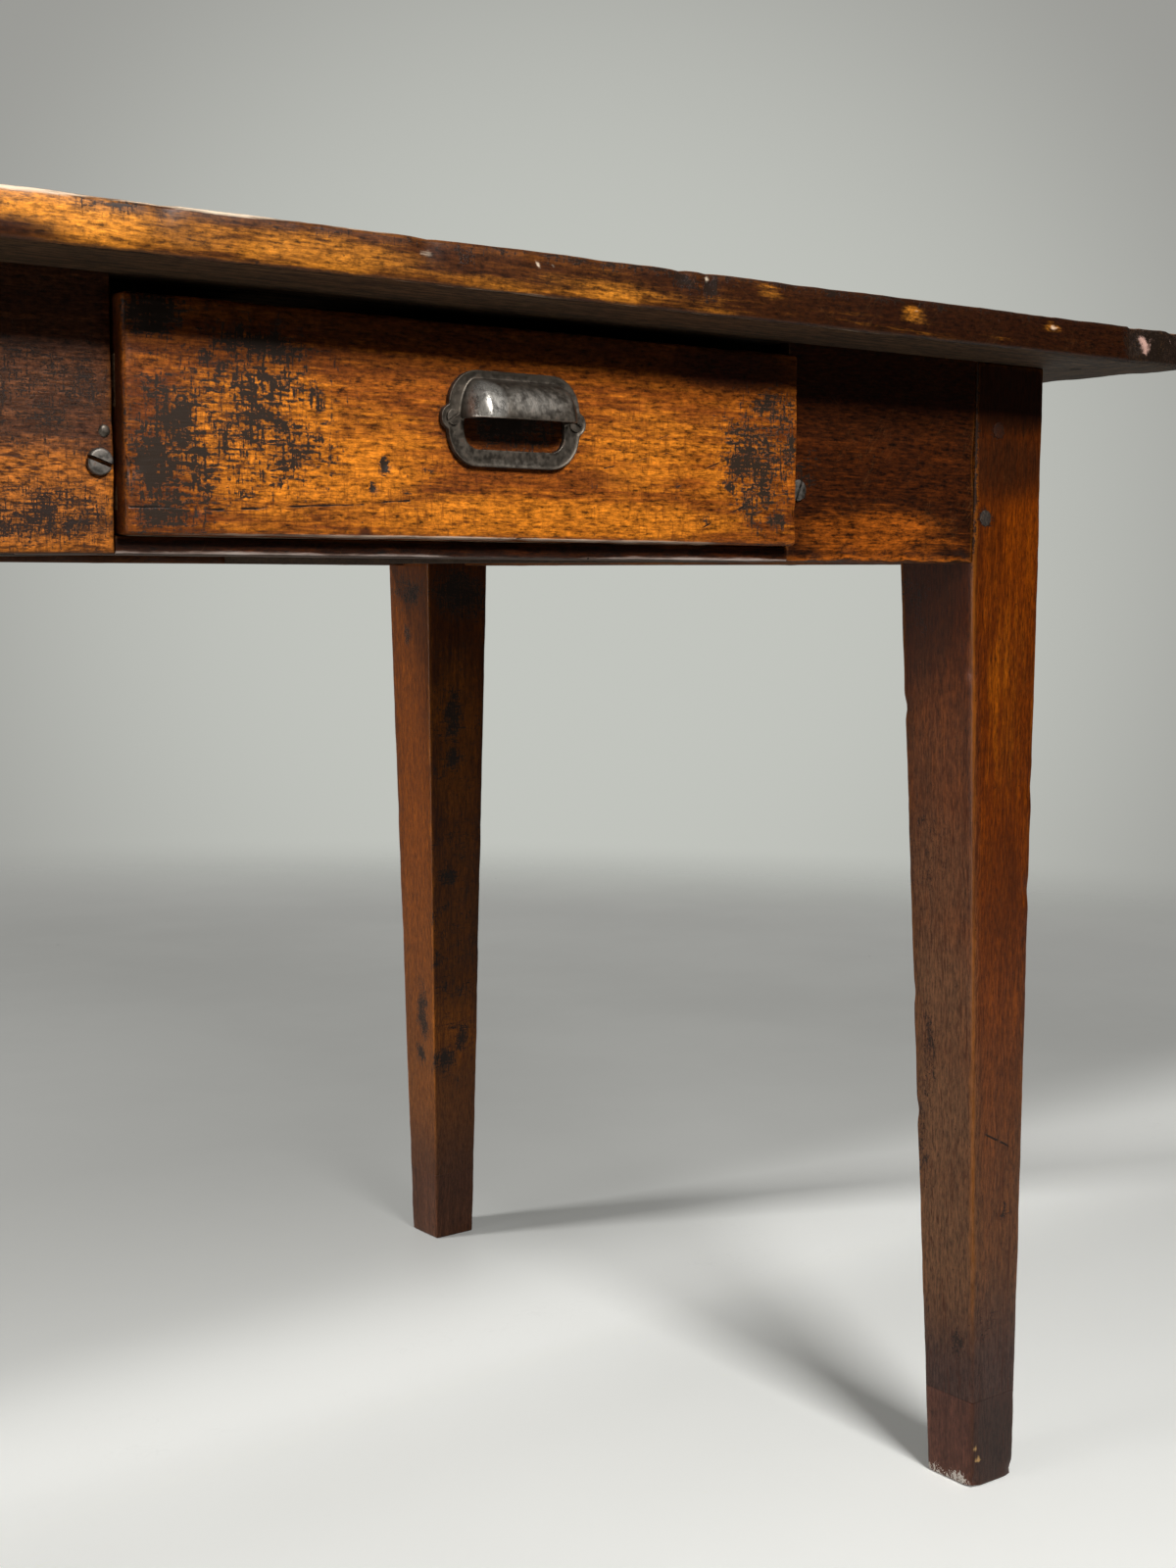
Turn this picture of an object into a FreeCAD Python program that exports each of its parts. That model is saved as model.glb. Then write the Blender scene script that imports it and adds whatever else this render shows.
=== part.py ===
import FreeCAD, Part
import os
import re
import Sketcher

# A farmhouse table: a planked top with breadboard ends on four tapered legs,
# pegged aprons, and one drawer with an iron cup pull in the long front.
# Millimetres, +Z up, the origin on the floor under the middle of the top.
# The front is at -Y, and the drawer sits towards the right hand end, at +X.

os.makedirs("parts", exist_ok=True)
doc = FreeCAD.newDocument("farmhouse_table")

SIZES = {
    # Top
    "top_length": 1600,
    "top_depth": 800,
    "table_height": 760,
    "top_thick": 22,
    "top_round": 3,            # worn roundness of the outer arrises
    "seam_gap": 0.6,           # between neighbouring planks
    "cleat_width": 70,         # breadboard end, along the table
    "tongue_length": 22,       # plank tongues inside the breadboard ends
    "tongue_thick": 8,
    "tongue_stop": 26,         # the tongues stop short of the outer edges
    "cleat_peg_radius": 4,
    # Legs
    "overhang_end": 80,        # from the top's end to the legs
    "overhang_front": 58,      # from the top's front to the legs
    "leg_size": 63,
    "foot_size": 40,
    "foot_inset": 1,           # lean of the two outer faces
    "tip_height": 60,          # spliced leg tips
    "dowel_radius": 8,
    "dowel_reach": 28,         # into the leg and into the tip
    # Aprons
    "apron_height": 125,
    "apron_thick": 24,
    "apron_setback": 1,
    "tenon_length": 36,
    "tenon_cheek": 7,
    "tenon_shoulder": 12,
    "peg_radius": 5.3,
    "peg_length": 34,
    "peg_proud": 0.6,
    "peg_near": 10,            # lower peg, from the joint line
    "peg_far": 20.5,           # upper peg, from the joint line
    "peg_low": 28.5,           # above the apron's lower edge
    "peg_high": 83.6,
    # Drawer opening and what carries the drawer
    "opening_offset": 160,     # from the front right leg
    "opening_width": 417,
    "rail_height": 8.5,
    "rail_rear": 36,
    "guide_width": 24,
    "guide_height": 52,
    "ledge_width": 16,
    "runner_tenon": 10,
    "runner_cheek": 5,
    "kicker_width": 24,
    "kicker_height": 13,
    "stop_height": 26,
    "stop_length": 40,
    "running_gap": 0.3,        # under and behind the closed drawer
    "side_gap": 1,             # each side of the drawer
    # Drawer
    "front_height": 108,
    "front_thick": 24,
    "front_proud": 9.5,
    "front_round": 3,
    "front_lap": 9,            # wood left in front of the dovetails
    "rear_space": 167.5,       # between the closed drawer and the back apron
    "side_thick": 12,
    "side_height": 92,
    "tail_root": 18,
    "tail_tip": 24,
    "back_thick": 12,
    "bottom_thick": 8,
    "bottom_rise": 8,
    "groove_depth": 6,
    "nail_radius": 1.2,
    "nail_length": 26,
    "nail_spacing": 130,
    # Cup pull
    "pull_width": 82,
    "pull_height": 48,
    "pull_shift": 6,           # to the right of the middle of the drawer front
    "pull_rise": 7,            # above the middle of the drawer front
    "pull_plate": 3.2,
    "pull_corner": 13,
    "ear_radius": 6.3,
    "ear_spread": 39,
    "window_width": 63,
    "window_border": 8.6,      # plate below the finger window
    "window_corner": 6,
    "hood_width": 68,
    "hood_height": 20,
    "hood_top": 4.5,           # plate above the hood
    "hood_depth": 19,
    "hood_wall": 2.6,
    "hood_round": 13,
    # Fixings
    "button_width": 36,
    "button_reach": 34,
    "button_height": 20,
    "button_tongue": 12,
    "tongue_height": 9,
    "button_inset": 110,       # from a leg or from the drawer opening
    "wood_screw_head": 4.5,
    "wood_screw_shank": 2.2,
    "wood_screw_bite": 13,     # past the piece that it holds
    "runner_screw_head": 6.2,
    "runner_screw_crown": 5,
    "runner_screw_rise": 3,
    "runner_screw_shank": 2.8,
    "runner_screw_length": 52,
    "runner_screw_in": 7.2,    # from the edge of the opening
    "runner_screw_up": 32.7,   # above the drawer rail
    "pull_screw_head": 4,
    "pull_screw_shank": 1.8,
    "pull_screw_length": 16,
    "slot_width": 1.6,
    "slot_depth": 1.3,
    "hook_nail_radius": 1.5,
    "hook_nail_head": 3.2,
    "hook_nail_rise": 1.6,
    "hook_nail_length": 40,
    "hook_nail_in": 4.5,
    "hook_nail_up": 46.3,
}
PLANKS = 4
TAILS = 2
PEG_SHARES = (0.25, 0.75)      # places of the two breadboard pegs across a plank
NEAR = 0.01                    # within which an edge counts as lying on a face

sheet = doc.addObject("Spreadsheet::Sheet", "sizes")
for row, (alias, value) in enumerate(SIZES.items(), start=1):
    sheet.set(f"A{row}", alias.replace("_", " "))
    sheet.set(f"B{row}", str(value))
    sheet.setAlias(f"B{row}", alias)
doc.recompute()

# Faces and places that several pieces share, as formulas in the sizes
UNDERSIDE = "(table_height - top_thick)"
APRON_LOW = f"({UNDERSIDE} - apron_height)"
APRON_Z = (APRON_LOW, UNDERSIDE)
TENON_Z = (f"{APRON_LOW} + tenon_shoulder", f"{UNDERSIDE} - tenon_shoulder")
PLANK_X = "(top_length / 2 - cleat_width)"
LEG_X = "(top_length / 2 - overhang_end)"
LEG_Y = "(top_depth / 2 - overhang_front)"
INNER_X = f"({LEG_X} - leg_size)"
INNER_Y = f"({LEG_Y} - leg_size)"
APRON_X = f"({LEG_X} - apron_setback)"
APRON_Y = f"({LEG_Y} - apron_setback)"
APRON_BACK_X = f"({APRON_X} - apron_thick)"
APRON_BACK_Y = f"({APRON_Y} - apron_thick)"
OPEN_RIGHT = f"({INNER_X} - opening_offset)"
OPEN_LEFT = f"({OPEN_RIGHT} - opening_width)"
RAIL_TOP = f"({APRON_LOW} + rail_height)"
RAIL_REAR = f"(-{APRON_BACK_Y} + rail_rear)"
DRAWER_LOW = f"({RAIL_TOP} + running_gap)"
DRAWER_LEFT = f"({OPEN_LEFT} + side_gap)"
DRAWER_RIGHT = f"({OPEN_RIGHT} - side_gap)"
DRAWER_FACE = f"(-{APRON_Y} - front_proud)"
DRAWER_END = f"({APRON_BACK_Y} - rear_space)"
BOTTOM_LOW = f"({DRAWER_LOW} + bottom_rise)"
BOTTOM_TOP = f"({BOTTOM_LOW} + bottom_thick)"
TURN = {
    "x": FreeCAD.Rotation(FreeCAD.Vector(0, 1, 0), 90),
    "y": FreeCAD.Rotation(FreeCAD.Vector(1, 0, 0), -90),
    "z": FreeCAD.Rotation(),
}
HANDS = (("left", -1), ("right", 1))
CORNERS = {
    "front_left": (-1, -1),
    "front_right": (1, -1),
    "back_left": (-1, 1),
    "back_right": (1, 1),
}
finished = []


def formula(text):
    """Points each size name in a formula at its cell in the sheet."""
    return re.sub(r"[a-z_]+", lambda word: f"sizes.{word[0]}" if word[0] in SIZES else word[0], text)


def bind(piece, place, text):
    piece.setExpression(place, formula(text))


def span(side, near, far):
    """The low and high faces of a stretch on the +1 or -1 side of the middle."""
    return (near, far) if side > 0 else (f"-({far})", f"-({near})")


def place(piece, x, y, z):
    for axis, text in zip("xyz", (x, y, z)):
        bind(piece, f"Placement.Base.{axis}", text)
    return piece


def box(name, x, y, z):
    """A block between a low and a high face in each direction."""
    piece = doc.addObject("Part::Box", name)
    for size, (low, high) in zip(("Length", "Width", "Height"), (x, y, z)):
        bind(piece, size, f"({high}) - ({low})")
    return place(piece, x[0], y[0], z[0])


def rod(name, axis, x, y, z, radius, length):
    """A round rod from a point, along +X, +Y or +Z."""
    piece = doc.addObject("Part::Cylinder", name)
    piece.Placement.Rotation = TURN[axis]
    bind(piece, "Radius", radius)
    bind(piece, "Height", length)
    return place(piece, x, y, z)


def cone(name, axis, x, y, z, first, last, length):
    """A round taper from a point, along +X, +Y or +Z."""
    piece = doc.addObject("Part::Cone", name)
    piece.Placement.Rotation = TURN[axis]
    bind(piece, "Radius1", first)
    bind(piece, "Radius2", last)
    bind(piece, "Height", length)
    return place(piece, x, y, z)


def fuse(name, pieces):
    whole = doc.addObject("Part::MultiFuse", name)
    whole.Shapes = pieces
    whole.Refine = True
    return whole


def group(name, pieces):
    whole = doc.addObject("Part::Compound", name)
    whole.Links = pieces
    return whole


def cut(name, blank, tools):
    """A blank less the pieces that are let into it."""
    piece = doc.addObject("Part::Cut", name)
    piece.Base = blank
    piece.Tool = group(f"{name}_recesses", tools)
    return piece


def rounded(name, blank, radius, pick):
    """A blank with the edges rounded whose middle point pick accepts."""
    doc.recompute()
    piece = doc.addObject("Part::Fillet", name)
    piece.Base = blank
    middles = enumerate((edge.CenterOfMass for edge in blank.Shape.Edges), start=1)
    piece.Edges = [(number, radius, radius) for number, middle in middles if pick(middle)]
    return piece


def finish(piece):
    finished.append(piece)
    return piece


def outline_body(name, plane, points, length):
    """A body padded from a straight sided outline, drawn on one of its origin planes."""
    body = doc.addObject("PartDesign::Body", name)
    sketch = body.newObject("Sketcher::SketchObject", f"{name}_outline")
    sketch.AttachmentSupport = [(next(f for f in body.Origin.OriginFeatures if f.Role == plane), "")]
    sketch.MapMode = "FlatFace"
    count = len(points)
    corners = [FreeCAD.Vector(*(sheet.evalExpression(formula(text)) for text in point)) for point in points]
    for number in range(count):
        sketch.addGeometry(Part.LineSegment(corners[number], corners[(number + 1) % count]), False)
    for number in range(count):
        sketch.addConstraint(Sketcher.Constraint("Coincident", number, 2, (number + 1) % count, 1))
    for number, (point, corner) in enumerate(zip(points, corners)):
        for kind, text, value in zip(("DistanceX", "DistanceY"), point, corner):
            constraint = sketch.addConstraint(Sketcher.Constraint(kind, -1, 1, number, 1, value))
            sketch.setExpression(f"Constraints[{constraint}]", formula(text))
    pad = body.newObject("PartDesign::Pad", f"{name}_pad")
    pad.Profile = sketch
    bind(pad, "Length", length)
    return body


def wood_screw(name, x, y, z, length):
    """A countersunk screw driven upwards, its head flush with the face at z."""
    head = cone(f"{name}_head", "z", x, y, z, "wood_screw_head", "wood_screw_shank",
                "wood_screw_head - wood_screw_shank")
    shank = rod(f"{name}_shank", "z", x, y, z, "wood_screw_shank", length)
    slot = box(f"{name}_slot", (f"{x} - wood_screw_head", f"{x} + wood_screw_head"),
               (f"{y} - slot_width / 2", f"{y} + slot_width / 2"), (z, f"{z} + slot_depth"))
    return cut(name, fuse(f"{name}_blank", [head, shank]), [slot])


# Table top: planks with tongues, breadboard ends and their pegs
def plank_faces(number):
    """Front and back faces of a plank, a seam apart from its neighbours."""
    low = f"(top_depth * ({number} / {PLANKS} - 0.5))"
    high = f"(top_depth * ({number + 1} / {PLANKS} - 0.5))"
    first = low if number == 0 else f"({low} + seam_gap / 2)"
    last = high if number == PLANKS - 1 else f"({high} - seam_gap / 2)"
    return first, last


def plank_blank(number):
    name = f"top_plank_{number + 1}"
    front, back = plank_faces(number)
    board = box(f"{name}_board", (f"-{PLANK_X}", PLANK_X), (front, back), (UNDERSIDE, "table_height"))
    outer = SIZES["top_depth"] / 2
    if number in (0, PLANKS - 1):
        board = rounded(f"{name}_rounded", board, SIZES["top_round"],
                        lambda middle: outer - abs(middle.y) < NEAR and abs(middle.x) < NEAR)
    first = f"{front} + tongue_stop" if number == 0 else front
    last = f"{back} - tongue_stop" if number == PLANKS - 1 else back
    reach = f"({PLANK_X} + tongue_length)"
    shoulder = "(top_thick - tongue_thick) / 2"
    tongue = box(f"{name}_tongue", (f"-{reach}", reach), (first, last),
                 (f"{UNDERSIDE} + {shoulder}", f"table_height - {shoulder}"))
    return fuse(f"{name}_blank", [board, tongue])


def breadboard_peg(side, number, share):
    front, back = plank_faces(number)
    return rod(f"breadboard_peg_{number + 1}", "z", f"{side} * ({PLANK_X} + tongue_length / 2)",
               f"{front} + ({back} - {front}) * {share}", UNDERSIDE, "cleat_peg_radius", "top_thick")


plank_blanks = [plank_blank(number) for number in range(PLANKS)]
breadboard_pegs = finish(group("breadboard_pegs", [
    breadboard_peg(side, number, share)
    for side in (-1, 1) for number in range(PLANKS) for share in PEG_SHARES]))
for hand, side in HANDS:
    cleat = box(f"breadboard_{hand}_board", span(side, PLANK_X, "top_length / 2"),
                ("-top_depth / 2", "top_depth / 2"), (UNDERSIDE, "table_height"))
    shoulder_x = SIZES["top_length"] / 2 - SIZES["cleat_width"]
    cleat = rounded(f"breadboard_{hand}_rounded", cleat, SIZES["top_round"],
                    lambda middle: abs(middle.x) > shoulder_x + NEAR)
    finish(cut(f"breadboard_end_{hand}", cleat, plank_blanks + [breadboard_pegs]))


# Apron blanks: boards with a tenon slab that runs on into the legs
def long_apron(name, side, board, slab):
    """An apron along the front (-1) or the back (+1)."""
    tenon = span(side, f"{APRON_BACK_Y} + tenon_cheek", f"{APRON_Y} - tenon_cheek")
    return fuse(f"{name}_blank", [
        box(f"{name}_board", board, span(side, APRON_BACK_Y, APRON_Y), APRON_Z),
        box(f"{name}_tenon", slab, tenon, TENON_Z)])


def end_apron(name, side):
    """An apron across the left (-1) or the right (+1) end."""
    tenon = span(side, f"{APRON_BACK_X} + tenon_cheek", f"{APRON_X} - tenon_cheek")
    reach = f"({INNER_Y} + tenon_length)"
    return fuse(f"{name}_blank", [
        box(f"{name}_board", span(side, APRON_BACK_X, APRON_X), (f"-{INNER_Y}", INNER_Y), APRON_Z),
        box(f"{name}_tenon", tenon, (f"-{reach}", reach), TENON_Z)])


TENON_X = f"({INNER_X} + tenon_length)"
apron_blanks = {
    "front_apron_left": long_apron("front_apron_left", -1, (f"-{INNER_X}", OPEN_LEFT),
                                   (f"-{TENON_X}", OPEN_LEFT)),
    "front_apron_right": long_apron("front_apron_right", -1, (OPEN_RIGHT, INNER_X), (OPEN_RIGHT, TENON_X)),
    "back_apron": long_apron("back_apron", 1, (f"-{INNER_X}", INNER_X), (f"-{TENON_X}", TENON_X)),
    "end_apron_left": end_apron("end_apron_left", -1),
    "end_apron_right": end_apron("end_apron_right", 1),
}


# Draw-bored pegs through the legs and the apron tenons
def long_pegs(side_x, side_y):
    """Two pegs through the leg's front or back face into a long apron's tenon."""
    start = span(side_y, f"{LEG_Y} - peg_length", f"{LEG_Y} + peg_proud")[0]
    return [rod("long_peg", "y", f"{side_x} * ({INNER_X} + {offset})", start, f"{APRON_LOW} + {height}",
                "peg_radius", "peg_length + peg_proud")
            for offset, height in (("peg_near", "peg_low"), ("peg_far", "peg_high"))]


def end_pegs(side_x, side_y):
    """Two pegs through the leg's outer side face into an end apron's tenon."""
    start = span(side_x, f"{LEG_X} - peg_length", f"{LEG_X} + peg_proud")[0]
    return [rod("end_peg", "x", start, f"{side_y} * ({INNER_Y} + {offset})", f"{APRON_LOW} + {height}",
                "peg_radius", "peg_length + peg_proud")
            for offset, height in (("peg_near", "peg_low"), ("peg_far", "peg_high"))]


front_apron_pegs = finish(group("front_apron_pegs", long_pegs(-1, -1) + long_pegs(1, -1)))
back_apron_pegs = finish(group("back_apron_pegs", long_pegs(-1, 1) + long_pegs(1, 1)))
end_pegs_left = finish(group("end_apron_pegs_left", end_pegs(-1, -1) + end_pegs(-1, 1)))
end_pegs_right = finish(group("end_apron_pegs_right", end_pegs(1, -1) + end_pegs(1, 1)))
apron_pegs = [front_apron_pegs, back_apron_pegs, end_pegs_left, end_pegs_right]


# Legs: a square head, a taper on the inner faces, and a spliced tip on a dowel
TIP_SHARE = f"(1 - tip_height / {APRON_LOW})"


def leg_faces(face, share):
    """Inner and outer face of a leg where its taper has run that share of its way."""
    inner = f"({face} - leg_size + (leg_size - foot_inset - foot_size) * {share})"
    return inner, f"({face} - foot_inset * {share})"


def leg_taper(name, side_x, side_y, shares, heights):
    """A four sided taper between two sections of a leg."""
    piece = doc.addObject("Part::Wedge", name)
    piece.Placement.Rotation = FreeCAD.Rotation(FreeCAD.Vector(1, 0, 0), 90)
    for mark, share, height in zip(("", "2"), shares, heights):
        x = span(side_x, *leg_faces(LEG_X, share))
        y = span(side_y, *leg_faces(LEG_Y, share))
        bind(piece, f"X{mark}min", x[0])
        bind(piece, f"X{mark}max", x[1])
        bind(piece, f"Z{mark}min", f"-({y[1]})")
        bind(piece, f"Z{mark}max", f"-({y[0]})")
    bind(piece, "Ymin", heights[0])
    bind(piece, "Ymax", heights[1])
    return piece


def tip_dowel(side_x, side_y):
    inner_x, outer_x = leg_faces(LEG_X, TIP_SHARE)
    inner_y, outer_y = leg_faces(LEG_Y, TIP_SHARE)
    return rod("leg_tip_dowel", "z", f"{side_x} * ({inner_x} + {outer_x}) / 2",
               f"{side_y} * ({inner_y} + {outer_y}) / 2", "tip_height - dowel_reach",
               "dowel_radius", "2 * dowel_reach")


tip_dowels = finish(group("leg_tip_dowels", [tip_dowel(*sides) for sides in CORNERS.values()]))
for corner, (side_x, side_y) in CORNERS.items():
    head = box(f"leg_{corner}_head", span(side_x, INNER_X, LEG_X), span(side_y, INNER_Y, LEG_Y), APRON_Z)
    shaft = leg_taper(f"leg_{corner}_shaft", side_x, side_y, (TIP_SHARE, "0"), ("tip_height", APRON_LOW))
    tip = leg_taper(f"leg_tip_{corner}_blank", side_x, side_y, ("1", TIP_SHARE), ("0", "tip_height"))
    recesses = list(apron_blanks.values()) + apron_pegs + [tip_dowels]
    finish(cut(f"leg_{corner}", fuse(f"leg_{corner}_blank", [head, shaft]), recesses))
    finish(cut(f"leg_tip_{corner}", tip, [tip_dowels]))


# Buttons: blocks with a tongue in the aprons, screwed up into the planks
BUTTON_Z = (f"{UNDERSIDE} - button_height", UNDERSIDE)
TONGUE_Z = (f"{UNDERSIDE} - button_height", f"{UNDERSIDE} - button_height + tongue_height")
BUTTON_X = f"({INNER_X} - button_inset)"
BUTTON_Y = f"({INNER_Y} - button_inset)"


def long_button(x, side):
    across = (f"{x} - button_width / 2", f"{x} + button_width / 2")
    body = box("button_body", across, span(side, f"{APRON_BACK_Y} - button_reach", APRON_BACK_Y), BUTTON_Z)
    tongue_y = span(side, f"{APRON_BACK_Y} - button_reach", f"{APRON_BACK_Y} + button_tongue")
    screw = wood_screw("button_screw", x, f"{side} * ({APRON_BACK_Y} - button_reach / 2)", BUTTON_Z[0],
                       "button_height + wood_screw_bite")
    return fuse("button", [body, box("button_tongue", across, tongue_y, TONGUE_Z)]), screw


def end_button(y, side):
    across = (f"{y} - button_width / 2", f"{y} + button_width / 2")
    body = box("button_body", span(side, f"{APRON_BACK_X} - button_reach", APRON_BACK_X), across, BUTTON_Z)
    tongue_x = span(side, f"{APRON_BACK_X} - button_reach", f"{APRON_BACK_X} + button_tongue")
    screw = wood_screw("button_screw", f"{side} * ({APRON_BACK_X} - button_reach / 2)", y, BUTTON_Z[0],
                       "button_height + wood_screw_bite")
    return fuse("button", [body, box("button_tongue", tongue_x, across, TONGUE_Z)]), screw


LONG_PLACES = (f"-{BUTTON_X}", f"({OPEN_LEFT} - button_inset)", f"(({OPEN_RIGHT} + {INNER_X}) / 2)")
buttons = [long_button(x, side) for side in (-1, 1) for x in LONG_PLACES]
buttons += [end_button(y, side) for side in (-1, 1) for y in (f"-{BUTTON_Y}", BUTTON_Y)]
button_blanks = [button for button, screw in buttons]
button_screws = finish(group("button_screws", [screw for button, screw in buttons]))
finish(cut("top_buttons", group("top_button_blanks", button_blanks), [button_screws]))


# What carries the drawer: the rail below it, two rebated runners, stops and kickers
def beside(side, near, far):
    """A stretch measured outwards from the left (-1) or right (+1) edge of the opening."""
    if side > 0:
        return f"{OPEN_RIGHT} + ({near})", f"{OPEN_RIGHT} + ({far})"
    return f"{OPEN_LEFT} - ({far})", f"{OPEN_LEFT} - ({near})"


def runner_blank(hand, side):
    name = f"drawer_runner_{hand}"
    guide_z = (RAIL_TOP, f"{RAIL_TOP} + guide_height")
    tenon_z = (f"{RAIL_TOP} + runner_cheek", f"{RAIL_TOP} + guide_height - runner_cheek")
    return fuse(f"{name}_blank", [
        box(f"{name}_guide", beside(side, "0", "guide_width"), (f"-{APRON_BACK_Y}", APRON_BACK_Y), guide_z),
        box(f"{name}_ledge", beside(side, "-ledge_width", "guide_width"), (RAIL_REAR, APRON_BACK_Y),
            (APRON_LOW, RAIL_TOP)),
        box(f"{name}_tenon", beside(side, "runner_cheek", "guide_width - runner_cheek"),
            (RAIL_REAR, f"{APRON_BACK_Y} + runner_tenon"), tenon_z)])


def runner_screw(side):
    """A round headed screw through the front apron into the end of a runner."""
    x = beside(side, "runner_screw_in", "runner_screw_in")[0]
    z = f"{RAIL_TOP} + runner_screw_up"
    top = f"-{APRON_Y} - runner_screw_rise"
    head = cone("runner_screw_head", "y", x, top, z, "runner_screw_crown", "runner_screw_head",
                "runner_screw_rise")
    shank = rod("runner_screw_shank", "y", x, top, z, "runner_screw_shank", "runner_screw_length")
    slot = box("runner_screw_slot", (f"{x} - runner_screw_head", f"{x} + runner_screw_head"),
               (top, f"{top} + slot_depth"), (f"{z} - slot_width / 2", f"{z} + slot_width / 2"))
    return cut("runner_screw", fuse("runner_screw_blank", [head, shank]), [slot])


def kicker_screws(side):
    x = f"({beside(side, '-kicker_width / 2', '-kicker_width / 2')[0]})"
    return [wood_screw("kicker_screw", x, f"{end} * ({APRON_BACK_Y} - button_inset)",
                       f"({UNDERSIDE} - kicker_height)", "kicker_height + wood_screw_bite")
            for end in (-1, 1)]


def rail_screw(side):
    x = f"({beside(side, 'guide_width / 2', 'guide_width / 2')[0]})"
    return wood_screw("rail_screw", x, f"({RAIL_REAR} - rail_rear / 2)", APRON_LOW,
                      "rail_height + wood_screw_bite")


def old_nail():
    """The old nail above the left runner screw."""
    x = beside(-1, "hook_nail_in", "hook_nail_in")[0]
    z = f"{RAIL_TOP} + hook_nail_up"
    top = f"-{APRON_Y} - hook_nail_rise"
    head = cone("apron_nail_head", "y", x, top, z, "hook_nail_head / 2", "hook_nail_head", "hook_nail_rise")
    shank = rod("apron_nail_shank", "y", x, top, z, "hook_nail_radius", "hook_nail_length")
    return fuse("apron_nail", [head, shank])


runner_blanks = {hand: runner_blank(hand, side) for hand, side in HANDS}
runner_screws = finish(group("runner_screws", [runner_screw(side) for hand, side in HANDS]))
rail_screws = finish(group("rail_screws", [rail_screw(side) for hand, side in HANDS]))
kicker_screw_group = finish(group("kicker_screws", kicker_screws(-1) + kicker_screws(1)))
apron_nail = finish(old_nail())
rail = fuse("drawer_rail_blank", [
    box("drawer_rail_front", (OPEN_LEFT, OPEN_RIGHT), (f"-{APRON_Y}", RAIL_REAR), (APRON_LOW, RAIL_TOP)),
    box("drawer_rail_lap", (beside(-1, "0", "guide_width")[0], beside(1, "0", "guide_width")[1]),
        (f"-{APRON_BACK_Y}", RAIL_REAR), (APRON_LOW, RAIL_TOP))])
finish(cut("drawer_rail", rail, [rail_screws]))
for hand, side in HANDS:
    finish(cut(f"drawer_runner_{hand}", runner_blanks[hand], [runner_screws, rail_screws, apron_nail]))
    finish(box(f"drawer_stop_{hand}", beside(side, "-ledge_width", "0"),
               (f"{DRAWER_END} + running_gap", f"{DRAWER_END} + running_gap + stop_length"),
               (RAIL_TOP, f"{RAIL_TOP} + stop_height")))
    kicker = box(f"drawer_kicker_{hand}_blank", beside(side, "-kicker_width", "0"),
                 (f"-{APRON_BACK_Y}", APRON_BACK_Y), (f"{UNDERSIDE} - kicker_height", UNDERSIDE))
    finish(cut(f"drawer_kicker_{hand}", kicker, [kicker_screw_group]))

# Aprons and planks, less what is let into them
for name, blank in apron_blanks.items():
    lets = apron_pegs + button_blanks
    if name == "back_apron":
        lets = lets + list(runner_blanks.values())
    if name.startswith("front"):
        lets = lets + [runner_screws, apron_nail]
    finish(cut(name, blank, lets))
for number, blank in enumerate(plank_blanks, start=1):
    finish(cut(f"top_plank_{number}", blank, [breadboard_pegs, button_screws, kicker_screw_group]))


# Drawer: dovetailed sides, a grooved bottom, and a front that stands proud of the apron
TAIL_LENGTH = "(front_thick - front_lap)"
SIDE_LENGTH = f"({DRAWER_END} - {DRAWER_FACE} - front_lap)"
BACK_LINE = f"({SIDE_LENGTH} - back_thick)"


def tails(root, tip, numbers):
    """Corner points of the dovetails at one end of a side, in the order given."""
    points = []
    for number in numbers:
        middle = f"side_height * {2 * number + 1} / {2 * TAILS}"
        points += [(root, f"{middle} - tail_root / 2"), (tip, f"{middle} - tail_tip / 2"),
                   (tip, f"{middle} + tail_tip / 2"), (root, f"{middle} + tail_root / 2")]
    return points


def drawer_side(hand, left_face):
    points = [(TAIL_LENGTH, "0"), (BACK_LINE, "0")] + tails(BACK_LINE, SIDE_LENGTH, range(TAILS))
    points += [(BACK_LINE, "side_height"), (TAIL_LENGTH, "side_height")]
    points += reversed(tails(TAIL_LENGTH, "0", range(TAILS)))
    body = outline_body(f"drawer_side_{hand}_blank", "YZ_Plane", points, "side_thick")
    return place(body, left_face, f"{DRAWER_FACE} + front_lap", DRAWER_LOW)


side_blanks = [drawer_side("left", DRAWER_LEFT), drawer_side("right", f"{DRAWER_RIGHT} - side_thick")]
inset = "side_thick - groove_depth"
bottom = box("drawer_bottom_blank", (f"{DRAWER_LEFT} + {inset}", f"{DRAWER_RIGHT} - ({inset})"),
             (f"{DRAWER_FACE} + front_thick - groove_depth", DRAWER_END), (BOTTOM_LOW, BOTTOM_TOP))
bottom_nails = finish(group("drawer_bottom_nails", [
    rod("drawer_bottom_nail", "z", f"({DRAWER_LEFT} + {DRAWER_RIGHT}) / 2 + {step} * nail_spacing",
        f"{DRAWER_END} - back_thick / 2", BOTTOM_LOW, "nail_radius", "nail_length") for step in (-1, 0, 1)]))
finish(cut("drawer_bottom", bottom, [bottom_nails]))
for (hand, side), blank in zip(HANDS, side_blanks):
    finish(cut(f"drawer_side_{hand}", blank, [bottom]))
back = box("drawer_back_blank", (DRAWER_LEFT, DRAWER_RIGHT), (f"{DRAWER_END} - back_thick", DRAWER_END),
           (BOTTOM_TOP, f"{DRAWER_LOW} + side_height"))
finish(cut("drawer_back", back, side_blanks + [bottom_nails]))

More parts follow.
